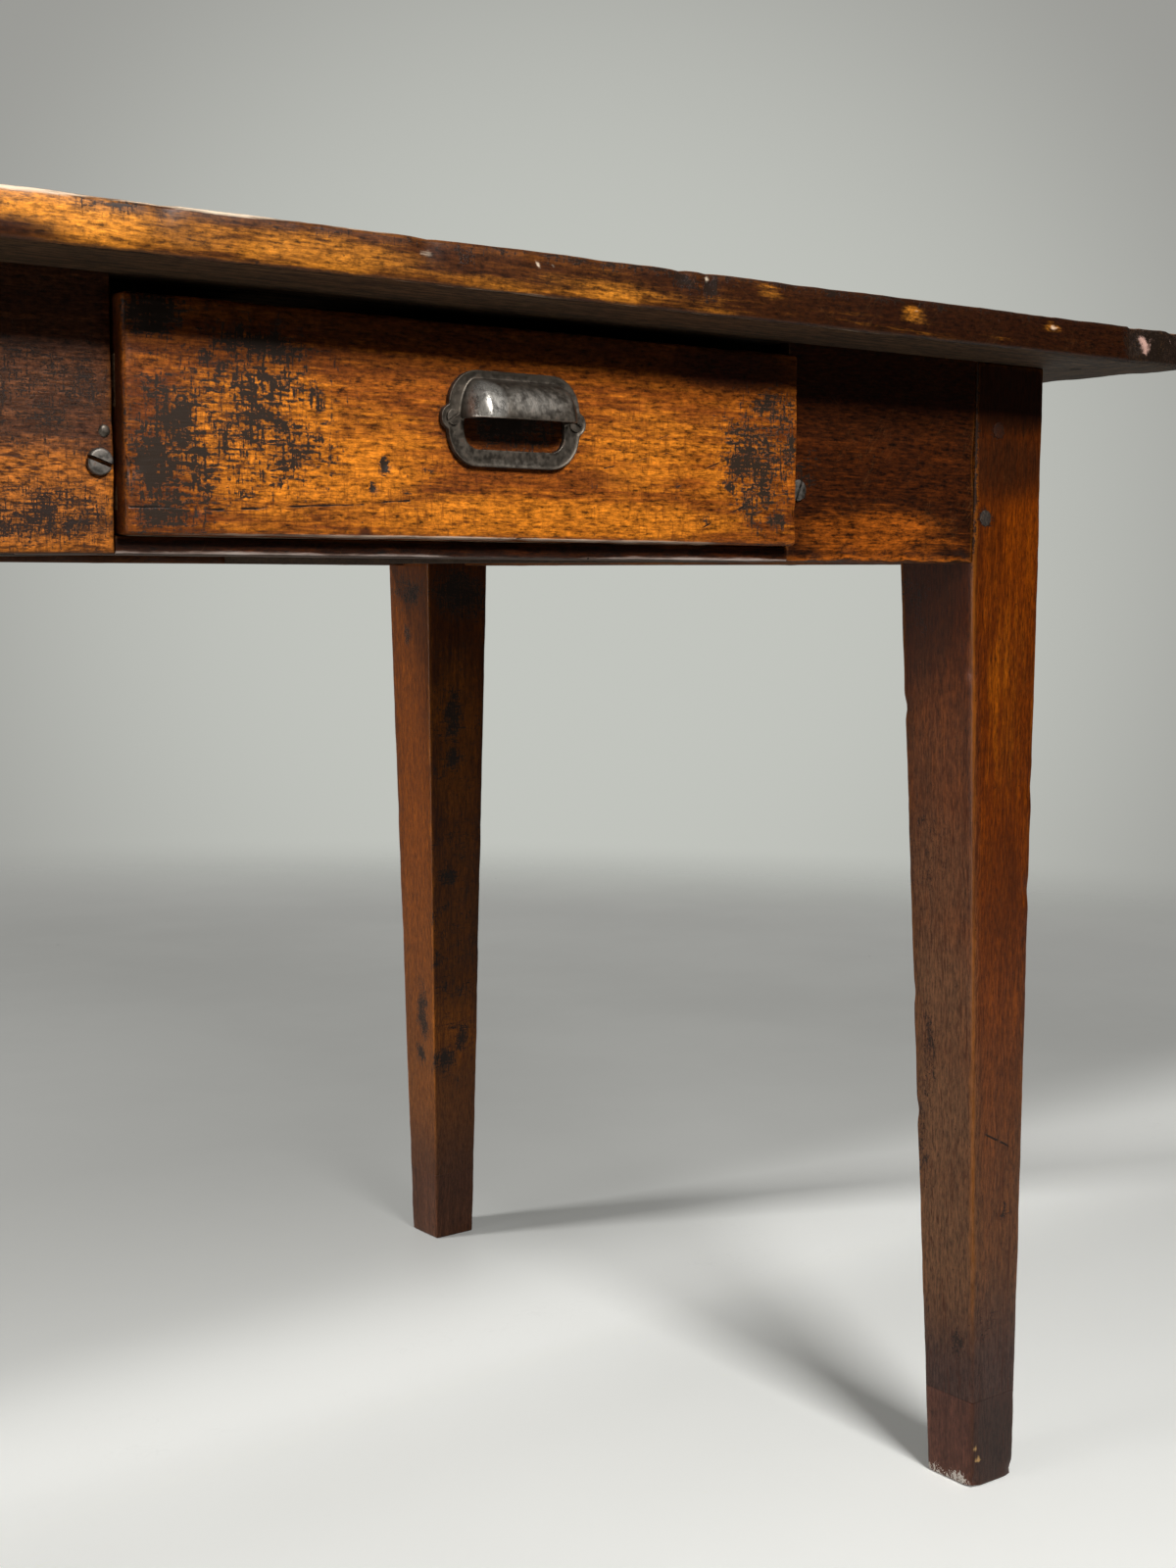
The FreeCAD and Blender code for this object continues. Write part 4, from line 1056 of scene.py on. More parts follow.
# %% Woods
WOODS = {
    "drawer": ("drawer_wood", "x",
               ((0.09, 0.02, 0.004), (0.28, 0.07, 0.006), (0.40, 0.112, 0.008), (0.50, 0.15, 0.010)),
               {"mottle": 0.15, "arris": 0.1, "fibre": 3.8, "scratch": 0.0, "worm": 0.03, "lines": 0.45,
                "fleck": 0.5, "curl": 3.4, "bump": 0.5, "film_tone": (0.06, 0.020, 0.008),
                "glaze_tone": (0.045, 0.012, 0.004), "pale_tone": (0.62, 0.45, 0.33),
                "coat_tone": (0.027, 0.017, 0.011), "cuts": DRAWER_CUTS}),
    "apron_left": ("left_apron_wood", "x",
                   ((0.04, 0.013, 0.005), (0.105, 0.035, 0.013), (0.185, 0.062, 0.020), (0.33, 0.098, 0.012)),
                   {"mottle": 0.4, "arris": 0.2, "under": 0.5, "scratch": 0.12, "fleck": 0.5, "curl": 4.6,
                    "fibre": 4.2, "crumble": 1.7, "bump": 0.6, "lines": 0.8, "pores": 0.8,
                    "film_tone": (0.06, 0.026, 0.012), "coat_tone": (0.024, 0.014, 0.010),
                    "pale_tone": (0.42, 0.36, 0.31)}),
    "apron": ("apron_wood", "x",
              ((0.016, 0.004, 0.001), (0.038, 0.008, 0.001), (0.07, 0.015, 0.0015), (0.24, 0.056, 0.004)),
              {**APRON, "fibre": 5.0, "curl": 3.2, "lines": 0.7, "pale_tone": (0.40, 0.33, 0.29)}),
    "apron_back": ("back_apron_wood", "x", PLAIN_TONES, APRON),
    "apron_end": ("end_apron_wood", "y", PLAIN_TONES, APRON),
    "leg": ("leg_wood", "z",
            ((0.045, 0.008, 0.0005), (0.14, 0.025, 0.0004), (0.21, 0.042, 0.0006), (0.34, 0.085, 0.002)),
            {**LEG, "arris": 0.45, "residue": 0.85, "lines": 0.8, "fibre": 3.2,
             # The tone of the painted sheen on the near leg's left face: greyer and lighter.
             "dull_tone": (0.15, 0.068, 0.030),
             "zones": [(0.45, 0.05, (0.13, 0.056, 0.022), 0.8), (0.17, 0.075, (0.052, 0.026, 0.020), 0.95)],
             "cuts": [((681, -342, 242), (710, -342, 228), 1.0)]}),
    "leg_back": ("back_leg_wood", "z",
                 ((0.05, 0.011, 0.0003), (0.12, 0.027, 0.0006), (0.17, 0.040, 0.001), (0.30, 0.085, 0.008)),
                 {**LEG, "arris": 0.35, "residue": 0.9, "lines": 0.6, "film_tone": (0.035, 0.016, 0.008),
                  "zones": [(0.45, 0.05, (0.115, 0.040, 0.010), 0.8),
                            (0.14, 0.06, (0.05, 0.019, 0.009), 0.9)]}),
    "tip": ("tip_wood", "z",
            ((0.06, 0.022, 0.014), (0.12, 0.046, 0.028), (0.16, 0.062, 0.04), (0.2, 0.08, 0.035)),
            {**TIP, "specks": 0.0, "glaze_tone": (0.034, 0.018, 0.013), "coat_tone": (0.66, 0.60, 0.52),
             "film_tone": (0.17, 0.075, 0.05)}),
    "tip_back": ("back_tip_wood", "z",
                 ((0.035, 0.012, 0.005), (0.065, 0.023, 0.011), (0.09, 0.034, 0.016), (0.12, 0.05, 0.02)),
                 TIP),
    "top": ("top_wood", "x",
            ((0.014, 0.0045, 0.002), (0.034, 0.010, 0.003), (0.07, 0.021, 0.004), (0.54, 0.19, 0.02)), TOP),
    "front_plank": ("front_plank_wood", "x",
                    ((0.022, 0.006, 0.002), (0.07, 0.020, 0.004), (0.16, 0.048, 0.006), (0.63, 0.22, 0.02)),
                    # The pale tone is whitish: for chips, and for the painted highlight and painted reflection
                    # on the arrises.
                    {**TOP, "along": 0, "curl": 3.2, "fibre": 3.2, "pale_tone": (0.78, 0.62, 0.45),
                     "zones": [(0.12, 0.55, (0.013, 0.003, 0.0007), 0.92)]}),
    "cleat": ("breadboard_wood", "y",
              ((0.010, 0.006, 0.004), (0.022, 0.012, 0.008), (0.05, 0.030, 0.020), (0.25, 0.1, 0.03)),
              {"mottle": 0.3, "arris": 0.05, "under": 1.0, "residue": 0.8, "pale_tone": (0.50, 0.30, 0.24),
               "up": WORN_UP}),
    "inner_x": ("dry_wood_x", "x", DRY_TONES, DRY),
    "inner_y": ("dry_wood_y", "y", DRY_TONES, DRY),
    "inner_dark": ("dry_wood_dark", "y",
                   ((0.016, 0.009, 0.005), (0.032, 0.019, 0.010), (0.05, 0.031, 0.017), (0.1, 0.06, 0.03)),
                   DRY),
    # Painted shade at the kickers' front ends.
    "inner_shaded_front": ("dry_wood_shaded_front", "y", DRY_TONES,
                    {**DRY, "along": 1, "zones": [(-0.26, -0.31, (0.012, 0.008, 0.005), 1.0)]}),
    "peg": ("peg_wood", "y",
            ((0.014, 0.010, 0.008), (0.035, 0.026, 0.020), (0.07, 0.054, 0.042), (0.1, 0.06, 0.04)),
            {"residue": 0.0, "arris": 0.0, "scratch": 0.3, "worm": 0.0, "rough": 0.5}),
}
finishes = {key: waxed_wood(*row) for key, row in WOODS.items()}
print(f"{len(finishes)} wood finishes")

# %% [markdown]
# ### Iron and steel
# The iron is dark and pitted, a little rusty in its pits, and the hood shines where fingers polish it, with a
# painted glint at its left end.
# The runner screws are of the same kind of metal with a lighter skin. Metal is never quite clean here, so
# it is not fully metallic.


# %% Metals
PIT_DEPTH = 0.4 * MM


def old_metal(name, dark, bright, rust, bare):
    """Dark worked metal: pitted, a little rusty, and polished bright where rub is painted; on the pull the
    brightest polish is also a painted glint.
    """
    material, tree = new_material(name)
    place = add(tree, "ShaderNodeTexCoord").outputs["Object"]
    patches = noise(place, (260, 260, 260), detail=6, rough=0.6)
    grit = noise(place, (1400, 1400, 1400), detail=3)
    brushed = noise(place, (2200, 500, 260), detail=2)
    tone = mix(step(patches, 0.3, 0.7), dark, bright)
    spots = step(plus(patches, times(grit, 0.4)), 0.78, 0.92)
    tone = mix(times(spots, 0.5), tone, rust)
    polished = step(plus(painted(tree, "rub"), centred(patches, 0.2)), 0.2, 0.9)
    tone = mix(polished, tone, mix(brushed, dark, bare))
    rough = step(plus(patches, times(grit, 0.3)), 0.4, 0.9, 0.32, 0.62)
    rough = minus(rough, times(polished, 0.14))
    relief = plus(times(patches, 0.5), times(grit, 0.3))
    end_finish(tree, tone, rough, relief, 0.2, PIT_DEPTH, {"Metallic": 0.8})
    return material


# The iron's bright polished tone also makes the painted glint on the hood.
finishes["iron"] = old_metal("pull_iron", (0.052, 0.042, 0.032), (0.095, 0.078, 0.060), (0.08, 0.04, 0.025),
                             (0.72, 0.68, 0.61))
finishes["steel"] = old_metal("screw_steel", (0.05, 0.045, 0.038), (0.17, 0.15, 0.13), (0.1, 0.05, 0.03),
                              (0.4, 0.38, 0.35))
print("metals:", finishes["iron"].name, finishes["steel"].name)

# %% [markdown]
# ## Painted wear, painted shade and painted highlights
# Every table is worn in its own places, so these are painted one by one. A patch is an oval in millimetres
# with a strength, and several patches of one kind make a stain. Some patches are painted shade, painted
# highlights and painted reflections rather than wear. The drawer gets most of them: the scraped coat at both
# ends and beside the pull, gold where hands slide over it, brown finger marks with painted shade round the
# pull and in its window, darker varnish with painted shade along its top under the table top, painted shade on
# its end faces, and a pale line of wear and painted reflection along its lower arris.


# %% Wear and painted shade on the drawer front
def on_front(rows, y=FACE_Y, reach=8):
    """Patches on a face that looks to the front, from rows of x, z, half sizes in x and z, and strength."""
    return [((x, y, z), (half_x, reach, half_z), strength) for x, z, half_x, half_z, strength in rows]


def tell_paint(*pieces):
    """Prints what kinds of wear, painted shade and painted highlight each piece carries."""
    for piece in pieces:
        kinds = [values.name for values in piece.data.attributes if values.data_type == "FLOAT"]
        print(f"{piece.name}: {', '.join(kinds)}")


def scrape(start, end, width, strength):
    """A straight scrape on the drawer's face, as a row of round patches."""
    count = max(2, round(math.dist(start, end) / width))
    shares = [number / (count - 1) for number in range(count)]
    return on_front([(start[0] + share * (end[0] - start[0]), start[1] + share * (end[1] - start[1]),
                      width, width, strength) for share in shares])


# The patch at x 294.5 is painted shade in the pull's window. The other patches are the old coat.
paint(drawer_front, "residue", [
    *on_front([
        (140, 682, 56, 44, 0.6), (104, 660, 32, 50, 0.78), (467, 670, 32, 46, 0.74), (96, 721, 18, 12, 0.95),
        (150, 709, 36, 9, 0.86), (122, 703, 8, 8, 0.9), (131, 699, 10, 4, 0.8), (160, 704, 10, 4, 0.85),
        (92, 690, 6, 10, 0.72), (101, 689, 4, 9, 0.72), (110, 676, 9, 12, 0.92), (97, 670, 9, 6, 0.86),
        (117, 652, 13, 9, 0.92), (94, 646, 7, 9, 0.9), (95, 631, 13, 7, 0.88), (121, 639, 3, 8, 0.9),
        (138, 677.5, 6, 2, 0.9), (161, 673, 7, 6, 0.95), (167, 662, 3, 13, 0.85), (175, 663, 3, 8, 0.8),
        (181, 669, 2, 10, 0.8), (166, 664, 26, 20, 0.72), (129, 667, 8, 16, 0.8), (176.5, 687, 2, 6, 0.9),
        (142, 641.5, 10, 2.2, 0.7), (217.4, 657.7, 4, 5, 0.95), (211, 647, 2.5, 4, 0.9),
        (472, 697, 26, 13, 0.74), (455, 671, 22, 16, 0.78), (488, 677, 9, 11, 0.84), (443, 654, 10, 3.5, 0.8),
        (457, 647, 7, 7, 0.8), (479, 635, 10, 7, 0.9), (425, 636, 6, 3.5, 0.7), (406.5, 653, 5, 2, 0.8),
        (348, 651.5, 3, 2, 0.6), (243.5, 655.7, 5, 1.8, 0.6), (230, 645, 4.5, 1.5, 0.6),
        (188, 653, 2, 4, 0.6), (294.5, 684, 32, 17, 1.0)]),
    *scrape((141.6, 687.3), (158.2, 676.3), 2.4, 0.95), *scrape((161.6, 691), (180.9, 691), 1.8, 0.85),
    *scrape((179.8, 692.8), (179.8, 683), 1.6, 0.85)])
paint(drawer_front, "rub", on_front([
    (385, 672, 66, 30, 0.62), (320, 634, 190, 15, 0.78), (198, 655, 46, 25, 0.96), (216, 671, 46, 28, 0.64),
    (155, 666, 60, 44, 1.0), (450, 665, 60, 45, 0.55)]))
# Darker varnish with painted shade along the top under the table top, and painted shade round the pull and on
# the end faces and left margin. The other patches are brown smears.
paint(drawer_front, "shade_and_smear", [
    *on_front([(352, 655, 38, 7, 0.5), (300, 724, 230, 17, 0.62), (445, 719, 74, 19, 0.95),
               (86, 676, 5, 60, 0.5), (294.5, 681, 52, 33, 0.66), (250, 704, 60, 12, 0.4),
               (206.5, 624.5, 5.5, 4, 0.9)]),
    *[((x / MM, -338, 676), (3, 12, 90), 1.3) for x in (front_low.x, front_high.x)]])
# A pale line of wear and painted reflection along the lower arris.
paint(drawer_front, "pale_wear_and_highlight", [((288, -350, 622.2), (240, 4, 2.0), 0.8)])
tell_paint(drawer_front)

# %% [markdown]
# ### Wear, painted shade and painted highlights on the aprons and the top
# Knees rub the lower edges of the aprons. The right apron carries painted shade under the top, and the rail a
# pale line of wear and painted reflection along its lower arris. The front edge of the top is gold at the left
# and darkens to the right, with chips of fresh wood, a painted highlight along its upper arris at the left,
# and a pale line of wear and painted reflection along its lower arris. Dirt sits in the joints of the
# breadboard ends.

# %% Wear and painted shade on the aprons
APRON_Y = round(apron_front / MM)
# A pale line of wear and painted reflection along the rail's lower arris.
paint(aprons["drawer_rail"], "pale_wear_and_highlight", [((288, -341, 613.3), (700, 3, 1.8), 0.6)])
paint(left_apron, "rub", on_front([
    (-290, 650, 420, 9, 0.5), (40, 640, 66, 24, 0.95), (-180, 652, 90, 14, 0.6), (-290, 616, 460, 4, 0.95),
    (30, 617.5, 90, 4.5, 1.2)], APRON_Y, 10))
paint(left_apron, "residue", on_front([
    (-290, 630, 420, 16, 0.56), (36, 630, 70, 17, 0.6), (-290, 680, 420, 40, 0.45), (30, 682, 70, 26, 0.5)],
    APRON_Y, 10))
paint(left_apron, "pale_wear_and_highlight", on_front([(33, 622, 7, 2, 0.42), (58, 622, 6, 2, 0.42), (48, 654, 10, 1.6, 0.35)],
                                   APRON_Y, 8))
paint(right_apron, "rub", on_front([(565, 630, 90, 22, 0.62), (577, 614, 100, 4, 0.95)], APRON_Y, 10))
# The second patch is painted shade in the gap where the apron meets the kicker.
paint(right_apron, "residue", [((513, -341, 663), (12, 10, 16), 0.5), ((497, -322, 734), (4, 12, 12), 1.0)])
paint(right_apron, "pale_wear_and_highlight", on_front([(508, 657, 4, 5, 0.45)], APRON_Y, 8))
# Painted shade under the top and beside the near leg.
paint(right_apron, "shade_and_smear", on_front([(577, 712, 110, 44, 0.75), (655, 680, 12, 60, 0.5)], APRON_Y, 10))
tell_paint(aprons["drawer_rail"], left_apron, right_apron)

# %% Wear and painted highlights on the top
JOINTS = [((side * cleat_right[0].x / MM, 0, 760), (2.5, 2000, 6), 1.0) for side in (-1, 1)]
for name in PLANK_NAMES[1:]:
    paint(top_boards[name], "residue", JOINTS)
paint(front_plank, "rub", [
    *on_front([(10, 749, 130, 14, 0.86), (150, 747, 76, 13, 0.6), (240, 742, 60, 6, 0.34),
               (310, 745, 56, 10, 0.42), (390, 744, 60, 8, 0.26), (570, 743, 160, 7, 0.15),
               (-420, 748, 200, 14, 0.6)], -402, 30),
    *on_front([(536, 752, 13, 6, 0.42), (657, 754, 10, 5, 0.44), (424, 754, 15, 5, 0.45)], -400, 12)])
# Chips of fresh wood. The last four patches are a painted highlight along the upper arris at the left, and a
# pale line of wear and painted reflection along the lower arris.
paint(front_plank, "pale_wear_and_highlight", [
    *on_front([(539, 752, 4, 3, 0.5), (659, 754, 5, 4, 0.6), (210, 753, 8, 4, 0.6)], -400, 12),
    *on_front([(275, 753, 3, 2.5, 0.7), (285, 752, 3, 2.5, 0.7), (383, 756, 4, 3, 0.7),
               (134, 749, 4, 3, 0.45), (608, 754, 4, 3, 0.42)], -400, 9),
    *on_front([(78, 756, 6, 3, 0.45), (150, 755, 5, 3, 0.45)], -400, 10),
    ((-70, -400, 759.7), (160, 6, 3.4), 1.1), ((96, -400, 760), (70, 5, 2.7), 0.88),
    ((170, -400, 760), (40, 5, 2.0), 0.6), ((300, -399, 738.2), (420, 4, 1.6), 0.5)])
paint(front_plank, "residue", [
    *JOINTS, *on_front([(367, 754, 10, 6, 0.85), (384, 752, 7, 8, 0.9), (232, 752, 8, 6, 0.6)], -400, 12),
    *on_front([(400, 758, 330, 3, 0.5), (60, 757, 30, 4, 0.55)], -400, 16),
    ((729, -400, 749), (6, 20, 14), 0.9)])
paint(front_plank, "shade_and_smear", [
    *on_front([(217, 752, 24, 8, 0.7), (110, 757, 40, 4, 0.6)], -402, 20),
    *on_front([(0, 742, 50, 9, 0.95), (84, 749, 26, 14, 0.6)], -402, 24)])
paint(right_cleat, "residue", [((765, -400, 749), (50, 20, 16), 0.8)])
paint(right_cleat, "pale_wear_and_highlight", [
    *on_front([(747, 748, 6, 7, 0.8), (743, 753, 5, 5, 0.7), (753, 754, 4, 3.5, 0.6)], -400, 16),
    ((771, -400, 752), (3, 14, 6), 0.55)])
tell_paint(*top_boards.values())

# %% [markdown]
# ### Wear, painted shade and painted light on the legs
# Patches on a tapered face have to follow it, so their depth comes from the taper. The near leg's left face
# carries a painted sheen that grows stronger lower down, painted shade darkens the leg and its upper pegs
# under the top, and a dark ring lies round its pegs. The far leg has dark scrapes, and painted light lightens
# its front. The fronts of the tips carry painted shade. The near tip is chipped where it scuffs the floor.


# %% Wear, painted shade and painted light on the legs
TAPER, TAPER_TOP = 0.0358, 613
NEAR_LEG_LEFT, FAR_LEG_FRONT = 657, 279


def taper(z):
    """How far the inner faces of a leg stand back at a height, in millimetres."""
    return TAPER * max(0, TAPER_TOP - z)


def on_left_face(y, z, half_y, half_z, strength):
    """A patch on the left face of the near leg."""
    return (NEAR_LEG_LEFT + taper(z), y, z), (6, half_y, half_z), strength


def on_far_leg(x, z, half_x, half_z, strength):
    """A patch on the front face of the far leg."""
    return (x, FAR_LEG_FRONT + taper(z), z), (half_x, 6, half_z), strength


DOWN = range(210, 560, 70)
paint(near_leg, "residue", [
    on_left_face(-285, 590, 26, 30, 0.5), on_left_face(-303, 288, 8, 34, 0.6),
    on_left_face(-327, 98, 7, 12, 0.8), on_left_face(-300, 420, 24, 60, 0.3),
    on_left_face(-290, 230, 14, 50, 0.45), ((700, -342, 187), (10, 8, 7), 0.5),
    ((692, -342, 112), (14, 8, 14), 0.35), ((657, -342, 680), (2.5, 4, 74), 0.95),
    *[((x / MM, -342, z / MM), (8, 6, 8), 1.0) for x, z in long_pegs]])
# Painted shade under the top on the leg's front and on the upper left face. The patches lower on the front
# darken it there.
paint(near_leg, "shade_and_smear", [
    ((690, -342, 720), (60, 14, 44), 1.0), ((690, -342, 676), (60, 14, 34), 0.85),
    ((692, -342, 405), (40, 10, 80), 0.5), ((658, -300, 610), (10, 60, 120), 0.8),
    ((700, -342, 470), (14, 10, 100), 0.3)])
paint(near_leg, "rub", [((688, -342, 530), (26, 8, 90), 0.3)])
# Painted sheen on the near leg's left face, stronger lower down.
paint(near_leg, "dull", [on_left_face(-312, z, 44, 80, strength) for z, strength in
                         ((480, 0.35), (410, 0.6), (330, 0.8), (250, 0.9), (170, 0.9))])
upper_x, upper_z = long_pegs[1]
# Painted shade on the upper pegs, under the top.
paint(pegs["front_apron_pegs"], "shade_and_smear",
      [((side * upper_x / MM, -342, upper_z / MM), (9, 9, 9), 1.3) for side in (-1, 1)])
# Painted light: the far leg's front is lightened to a rubbed tone.
paint(far_leg, "rub", [on_far_leg(694, z, 40, 80, 0.6) for z in DOWN])
paint(far_leg, "residue", [
    *[on_far_leg(690, z, 34, 80, 0.22) for z in DOWN],
    on_far_leg(688, 480, 12, 32, 0.82), on_far_leg(687, 445, 9, 22, 0.75), on_far_leg(685, 337, 14, 12, 0.8),
    on_far_leg(676, 262, 9, 10, 0.7), on_far_leg(684, 168, 18, 14, 0.8), on_far_leg(702, 187, 8, 18, 0.8),
    on_far_leg(690, 590, 36, 26, 0.8), ((671, 311, 208), (7, 10, 34), 0.82),
    ((672, 316, 174), (7, 9, 12), 0.78), ((659, 316, 550), (6, 6, 10), 0.8),
    ((657, 310, 590), (6, 30, 18), 0.7)])
for corner in ("front_left", "back_left"):
    paint(legs[corner], "residue", [((-690, side * 342, 480), (30, 8, 90), 0.3) for side in (-1, 1)])
paint(near_tip, "residue", [((679, -316, 2), (4, 26, 7), 0.62), ((679, -328, 3), (4, 12, 6), 0.75)])
paint(near_tip, "pale_wear_and_highlight", [((684, -341, 20), (4.2, 5, 2.8), 0.9), ((681, -341, 28), (2.4, 5, 4), 0.7)])
# Painted shade on the fronts of the tips.
for tip in tips.values():
    paint(tip, "shade_and_smear", [((700 * side, -341, 30), (40, 4, 60), 0.78) for side in (-1, 1)])
tell_paint(*legs.values(), *tips.values())

# %% [markdown]
# ## Handing the pieces over
# Each piece gets its finish, and is then tied to its body, and the nodes of the frame that it stands for are
# hidden. The drawer front, the pull and its screws ride on the drawer. All the rest stays with the table.


# %% Hand the wooden pieces over
def wear_finish(piece, finish):
    piece.data.materials.clear()
    piece.data.materials.append(finishes[finish])


def hand_over(piece, finish, body, slot, *nodes):
    """Finishes a piece, ties it to its body, and hides the nodes that it stands for. The slot is not used."""
    wear_finish(piece, finish)
    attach(piece, body)
    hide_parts(*nodes)
    faces = sum(len(face.vertices) - 2 for face in piece.data.polygons)
    print(f"{piece.name}: {faces} triangles for {', '.join(nodes)}")


APRON_FINISHES = {"front_apron_left": "apron_left", "back_apron": "apron_back", "end_apron_left": "apron_end",
                  "end_apron_right": "apron_end"}
hand_over(drawer_front, "drawer", "drawer", "drawer_wood", "drawer_front")
for name, piece in aprons.items():
    hand_over(piece, APRON_FINISHES.get(name, "apron"), "table", "apron_wood", name)
for corner in CORNERS:
    ending = "_back" if corner.startswith("back") else ""
    hand_over(legs[corner], "leg" + ending, "table", "leg_wood", f"leg_{corner}")
    hand_over(tips[corner], "tip" + ending, "table", "tip_wood", f"leg_tip_{corner}")
for name, piece in top_boards.items():
    kind = "front_plank" if piece is front_plank else "cleat" if name in CLEAT_NAMES else "top"
    hand_over(piece, kind, "table", "top_wood", name)

# %% Hand the iron, the screws and the pegs over
pull_x = pull_mid.x / MM
# Polish where fingers rub. The strong patch at the hood's left end is a painted glint as well as polish.
paint(pull, "rub", [((pull_x, -368, 692), (34, 14, 12), 0.45), ((pull_x - 25, -364, 691), (12, 14, 14), 1.1),
                    ((pull_x, -354, 661), (36, 5, 5), 0.3)])
hand_over(pull, "iron", "drawer", "pull_iron", "drawer_pull")
hand_over(pull_screws, "iron", "drawer", "screw_steel", "pull_screws")
hand_over(runner_screws, "steel", "table", "screw_steel", "runner_screws")
hand_over(nail, "iron", "table", "screw_steel", "apron_nail")
for name, piece in pegs.items():
    hand_over(piece, "peg", "table", "peg_wood", name)

# %% [markdown]
# ## Pieces inside
# The drawer box, its runners, kickers and stops, the buttons, the flush pegs, the dowels and the small
# fasteners stay as they are built. They only need a finish: the grain follows the length of each timber.
# The runners are dark, from the drawer's rubbing and from dust, and the front ends of the kickers carry
# painted shade where they show in the gap above the drawer.

# %% Finishes of the inner pieces
INNER = {
    "inner_y": ["drawer_side_left", "drawer_side_right", "drawer_stop_left", "drawer_stop_right"],
    "inner_dark": ["drawer_runner_left", "drawer_runner_right"],
    # The kickers get painted shade at their front ends.
    "inner_shaded_front": ["drawer_kicker_left", "drawer_kicker_right"],
    "inner_x": ["drawer_back", "drawer_bottom", "top_buttons"],
    "peg": ["breadboard_pegs", "leg_tip_dowels"],
    "steel": ["drawer_bottom_nails", "button_screws", "rail_screws", "kicker_screws"],
}
for finish, names in INNER.items():
    for name in names:
        wear_finish(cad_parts[name], finish)
print(f"{sum(map(len, INNER.values()))} inner nodes have a finish")

# %% [markdown]
# ## Floor
# The photograph was taken in a grey studio. The floor is a pale plane, scuffed and a little glossy, that fades
# into the wall. Painted shade darkens it away from the camera, where the lamps' light falls off, and it
# lightens again towards the wall; a faint glow lifts it evenly. Its paleness and glow are for the camera and
# for reflections only. As a source of bounced light it is dark, so that it does not fill the shadows under the
# table.


# %% Floor
def shown_to(rays):
    """1 for the camera's rays and for reflected and refracted ones, 0 for the rays that carry light on."""
    mirrored = largest(rays.outputs["Is Glossy Ray"], rays.outputs["Is Transmission Ray"])
    return largest(rays.outputs["Is Camera Ray"], mirrored)


camera_place = Vector((-0.3162, -1.1990, 0.6039))
YAW, PITCH, ROLL = math.radians(37.91), math.radians(-5.87), math.radians(0.26)
towards = Vector((math.sin(YAW), math.cos(YAW), 0.0))
sideways = Vector((math.cos(YAW), -math.sin(YAW), 0.0))


def depth_of(place, lean):
    """How far a point lies in front of the camera, along a direction that leans to its right."""
    way = towards + lean * sideways
    return minus(vector_of("DOT_PRODUCT", place, way), camera_place.dot(way))


floor = added("studio_floor", bpy.ops.mesh.primitive_plane_add, size=9, location=(0, 0, 0))
floor_paint, tree = new_material("studio_floor_paint")
place = add(tree, "ShaderNodeTexCoord").outputs["Object"]
marks = noise(place, (3, 3, 3), detail=5)
tone = mix(marks, (0.93, 0.93, 0.89), (0.98, 0.98, 0.94))
# Painted shade: the floor darkens away from the camera, and lightens again towards the wall.
tone = mix(step(depth_of(place, -0.9), 1.45, 1.95), tone, (0.33, 0.33, 0.315))
tone = mix(step(depth_of(place, 0.4), 2.8, 3.8), tone, (0.5, 0.5, 0.48))
specks = place_group(HOLES, {"Place": place, "Cells": 9.0, "Share": 0.12, "Radius": 0.03})["Mask"]
scuffs = place_group(SCRATCHES, {"Place": vector_of("MULTIPLY", place, (0.2, 0.2, 0.2))})["Mask"]
tone = mix(times(specks, 0.6), tone, (0.12, 0.12, 0.11))
tone = mix(times(scuffs, 0.05), tone, (0.2, 0.2, 0.19))
seen = shown_to(add(tree, "ShaderNodeLightPath"))
shader = add(tree, "ShaderNodeBsdfPrincipled", {
    "Base Color": mix(seen, (0.10, 0.10, 0.10), tone), "Roughness": step(marks, 0.3, 0.7, 0.45, 0.6),
    "Emission Color": mix(seen, (0, 0, 0), (0.10, 0.10, 0.094)), "IOR": 1.3, "Emission Strength": 1.0})
clear = add(tree, "ShaderNodeBsdfTransparent")
fade = step(vector_of("LENGTH", place), 2.4, 3.5)
mixed = add(tree, "ShaderNodeMixShader", {0: fade, 1: shader.outputs[0], 2: clear.outputs[0]})
add(tree, "ShaderNodeOutputMaterial", {"Surface": mixed.outputs[0]})
floor.data.materials.append(floor_paint)
tell([floor])

# %% [markdown]
# ## Wall and lamps
# The wall fades from a pale middle to a darker rim. Light from the room itself comes from the left, and a
# dark flag at the front right keeps reflections off the right hand faces. A small lamp in front and above
# draws the shadow of the top's edge over the drawer. One high at the left rear throws the long shadows,
# and a wide one low at the left lights the left faces of the legs.

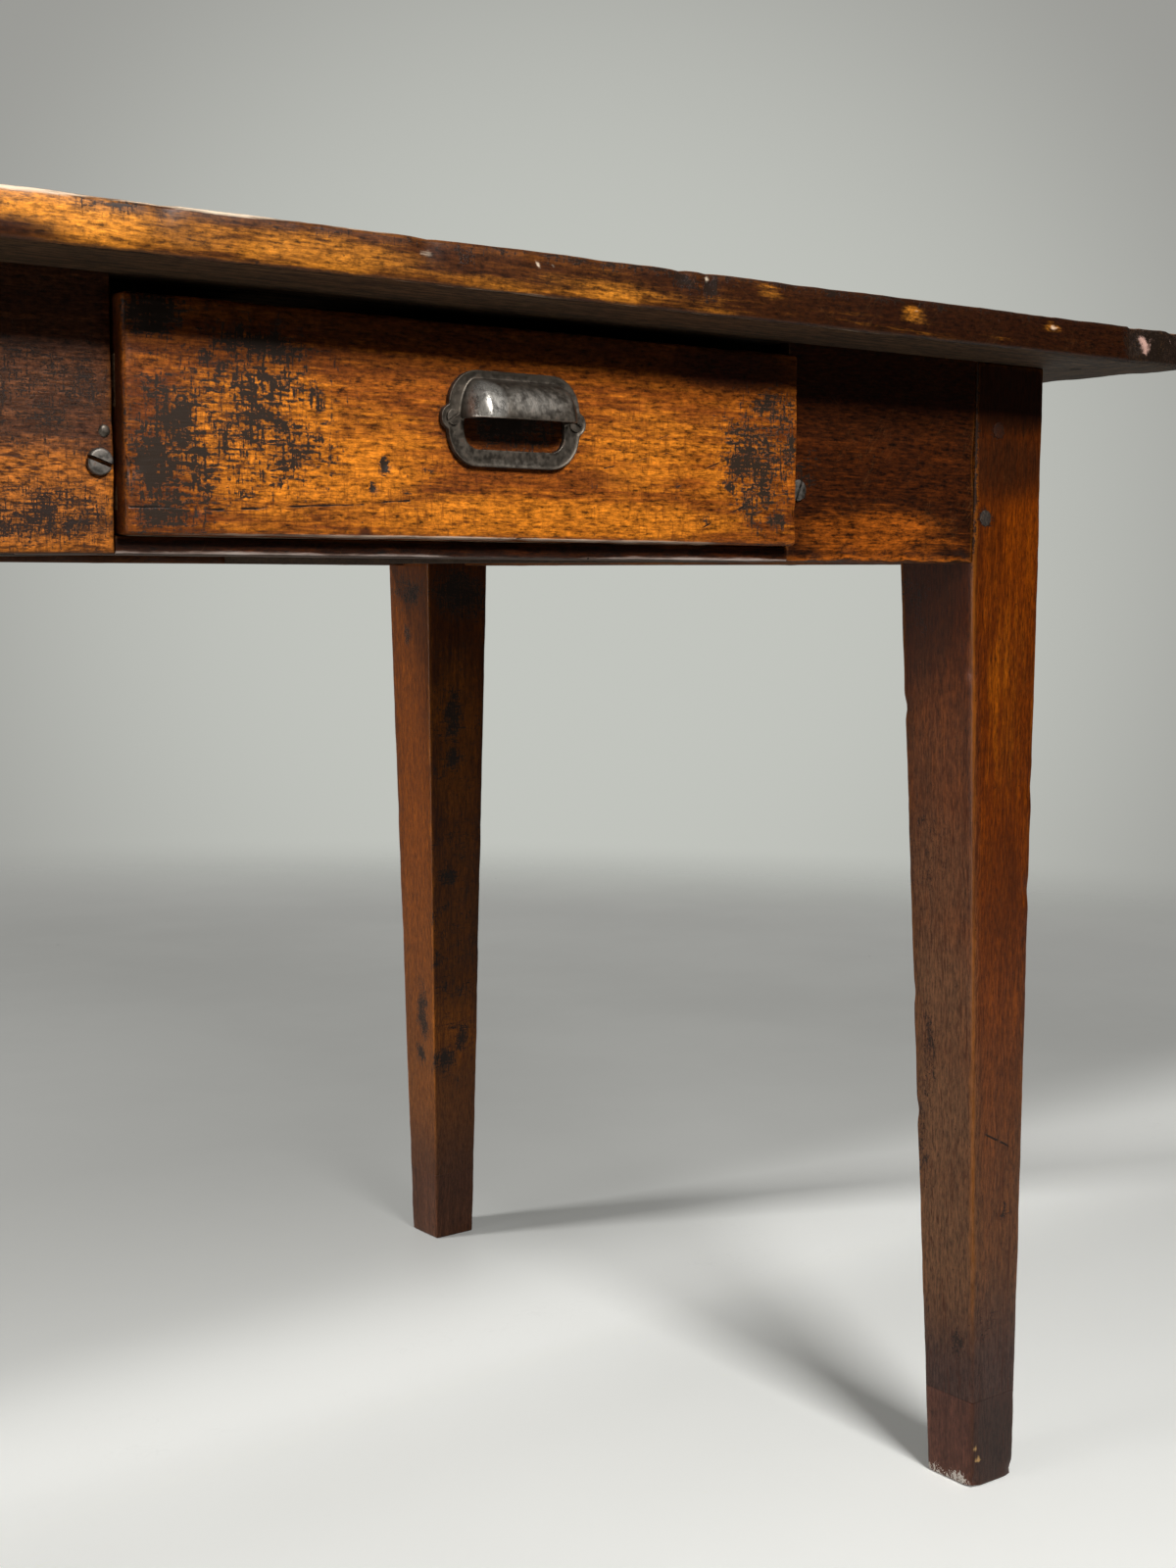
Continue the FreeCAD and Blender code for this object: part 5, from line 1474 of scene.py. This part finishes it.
# %% Wall and lamps
scene = bpy.context.scene
scene.world = bpy.data.worlds.new("studio_wall")
scene.world.use_nodes = True
tree = scene.world.node_tree
tree.nodes.clear()
way = add(tree, "ShaderNodeTexCoord").outputs["Generated"]
rays = add(tree, "ShaderNodeLightPath")
near_middle = step(vector_of("DOT_PRODUCT", way, towards), 0.93, 1.0)
wall_tone = mix(near_middle, (0.33, 0.33, 0.31), (0.54, 0.555, 0.515))
to_left = step(vector_of("DOT_PRODUCT", way, Vector((-0.85, 0.52, 0.0))), 0.2, 1.0)
room_tone = mix(to_left, (0.03, 0.03, 0.03), (0.30, 0.30, 0.29))
to_front_right = step(vector_of("DOT_PRODUCT", way, Vector((0.65, -0.76, 0.0))), 0.1, 0.6)
flagged = times(to_front_right, minus(1.0, rays.outputs["Is Camera Ray"]))
wall_tone = mix(flagged, wall_tone, (0.02, 0.02, 0.02))
shown = mix(shown_to(rays), room_tone, wall_tone)
backdrop = add(tree, "ShaderNodeBackground", {"Color": shown, "Strength": 1.0})
add(tree, "ShaderNodeOutputWorld", {"Surface": backdrop.outputs[0]})


def lamp(name, place, target, width, height, power):
    """A soft rectangular lamp that looks at a target."""
    data = bpy.data.lights.new(name, "AREA")
    data.shape = "RECTANGLE"
    data.size = width
    data.size_y = height
    data.energy = power
    made = bpy.data.objects.new(name, data)
    scene.collection.objects.link(made)
    made.location = place
    made.rotation_euler = (Vector(target) - Vector(place)).to_track_quat("-Z", "Y").to_euler()
    print(f"{name}: {power} W, {width} x {height} m")


lamp("front_lamp", (0.30, -1.70, 1.65), (0.29, -0.35, 0.62), 0.55, 0.4, 42)
lamp("rear_left_lamp", (-1.8, 1.07, 2.2), (0.4, 0.2, 0.2), 0.5, 0.5, 100)
lamp("low_left_lamp", (-2.4, 0.0, 0.4), (0.6, -0.1, 0.3), 1.0, 0.7, 42)

# %% [markdown]
# ## Camera
# The camera stands low, a step away from the drawer, and looks along the front towards the far leg. Its
# place, angles and lens were fitted to the edges of the real table, so that the picture can be laid over
# the photograph.

# %% Camera
camera = bpy.data.objects.new("photo_camera", bpy.data.cameras.new("photo_camera"))
scene.collection.objects.link(camera)
camera.data.sensor_width = 36
camera.data.lens = 46.33
tilt = Matrix.Rotation(math.radians(90) + PITCH, 4, "X") @ Matrix.Rotation(ROLL, 4, "Z")
camera.matrix_world = Matrix.Translation(camera_place) @ Matrix.Rotation(-YAW, 4, "Z") @ tilt
scene.camera = camera
scene.view_settings.view_transform = "Standard"
print(f"camera at {[round(x, 3) for x in camera_place]}, lens {camera.data.lens:.2f} mm")
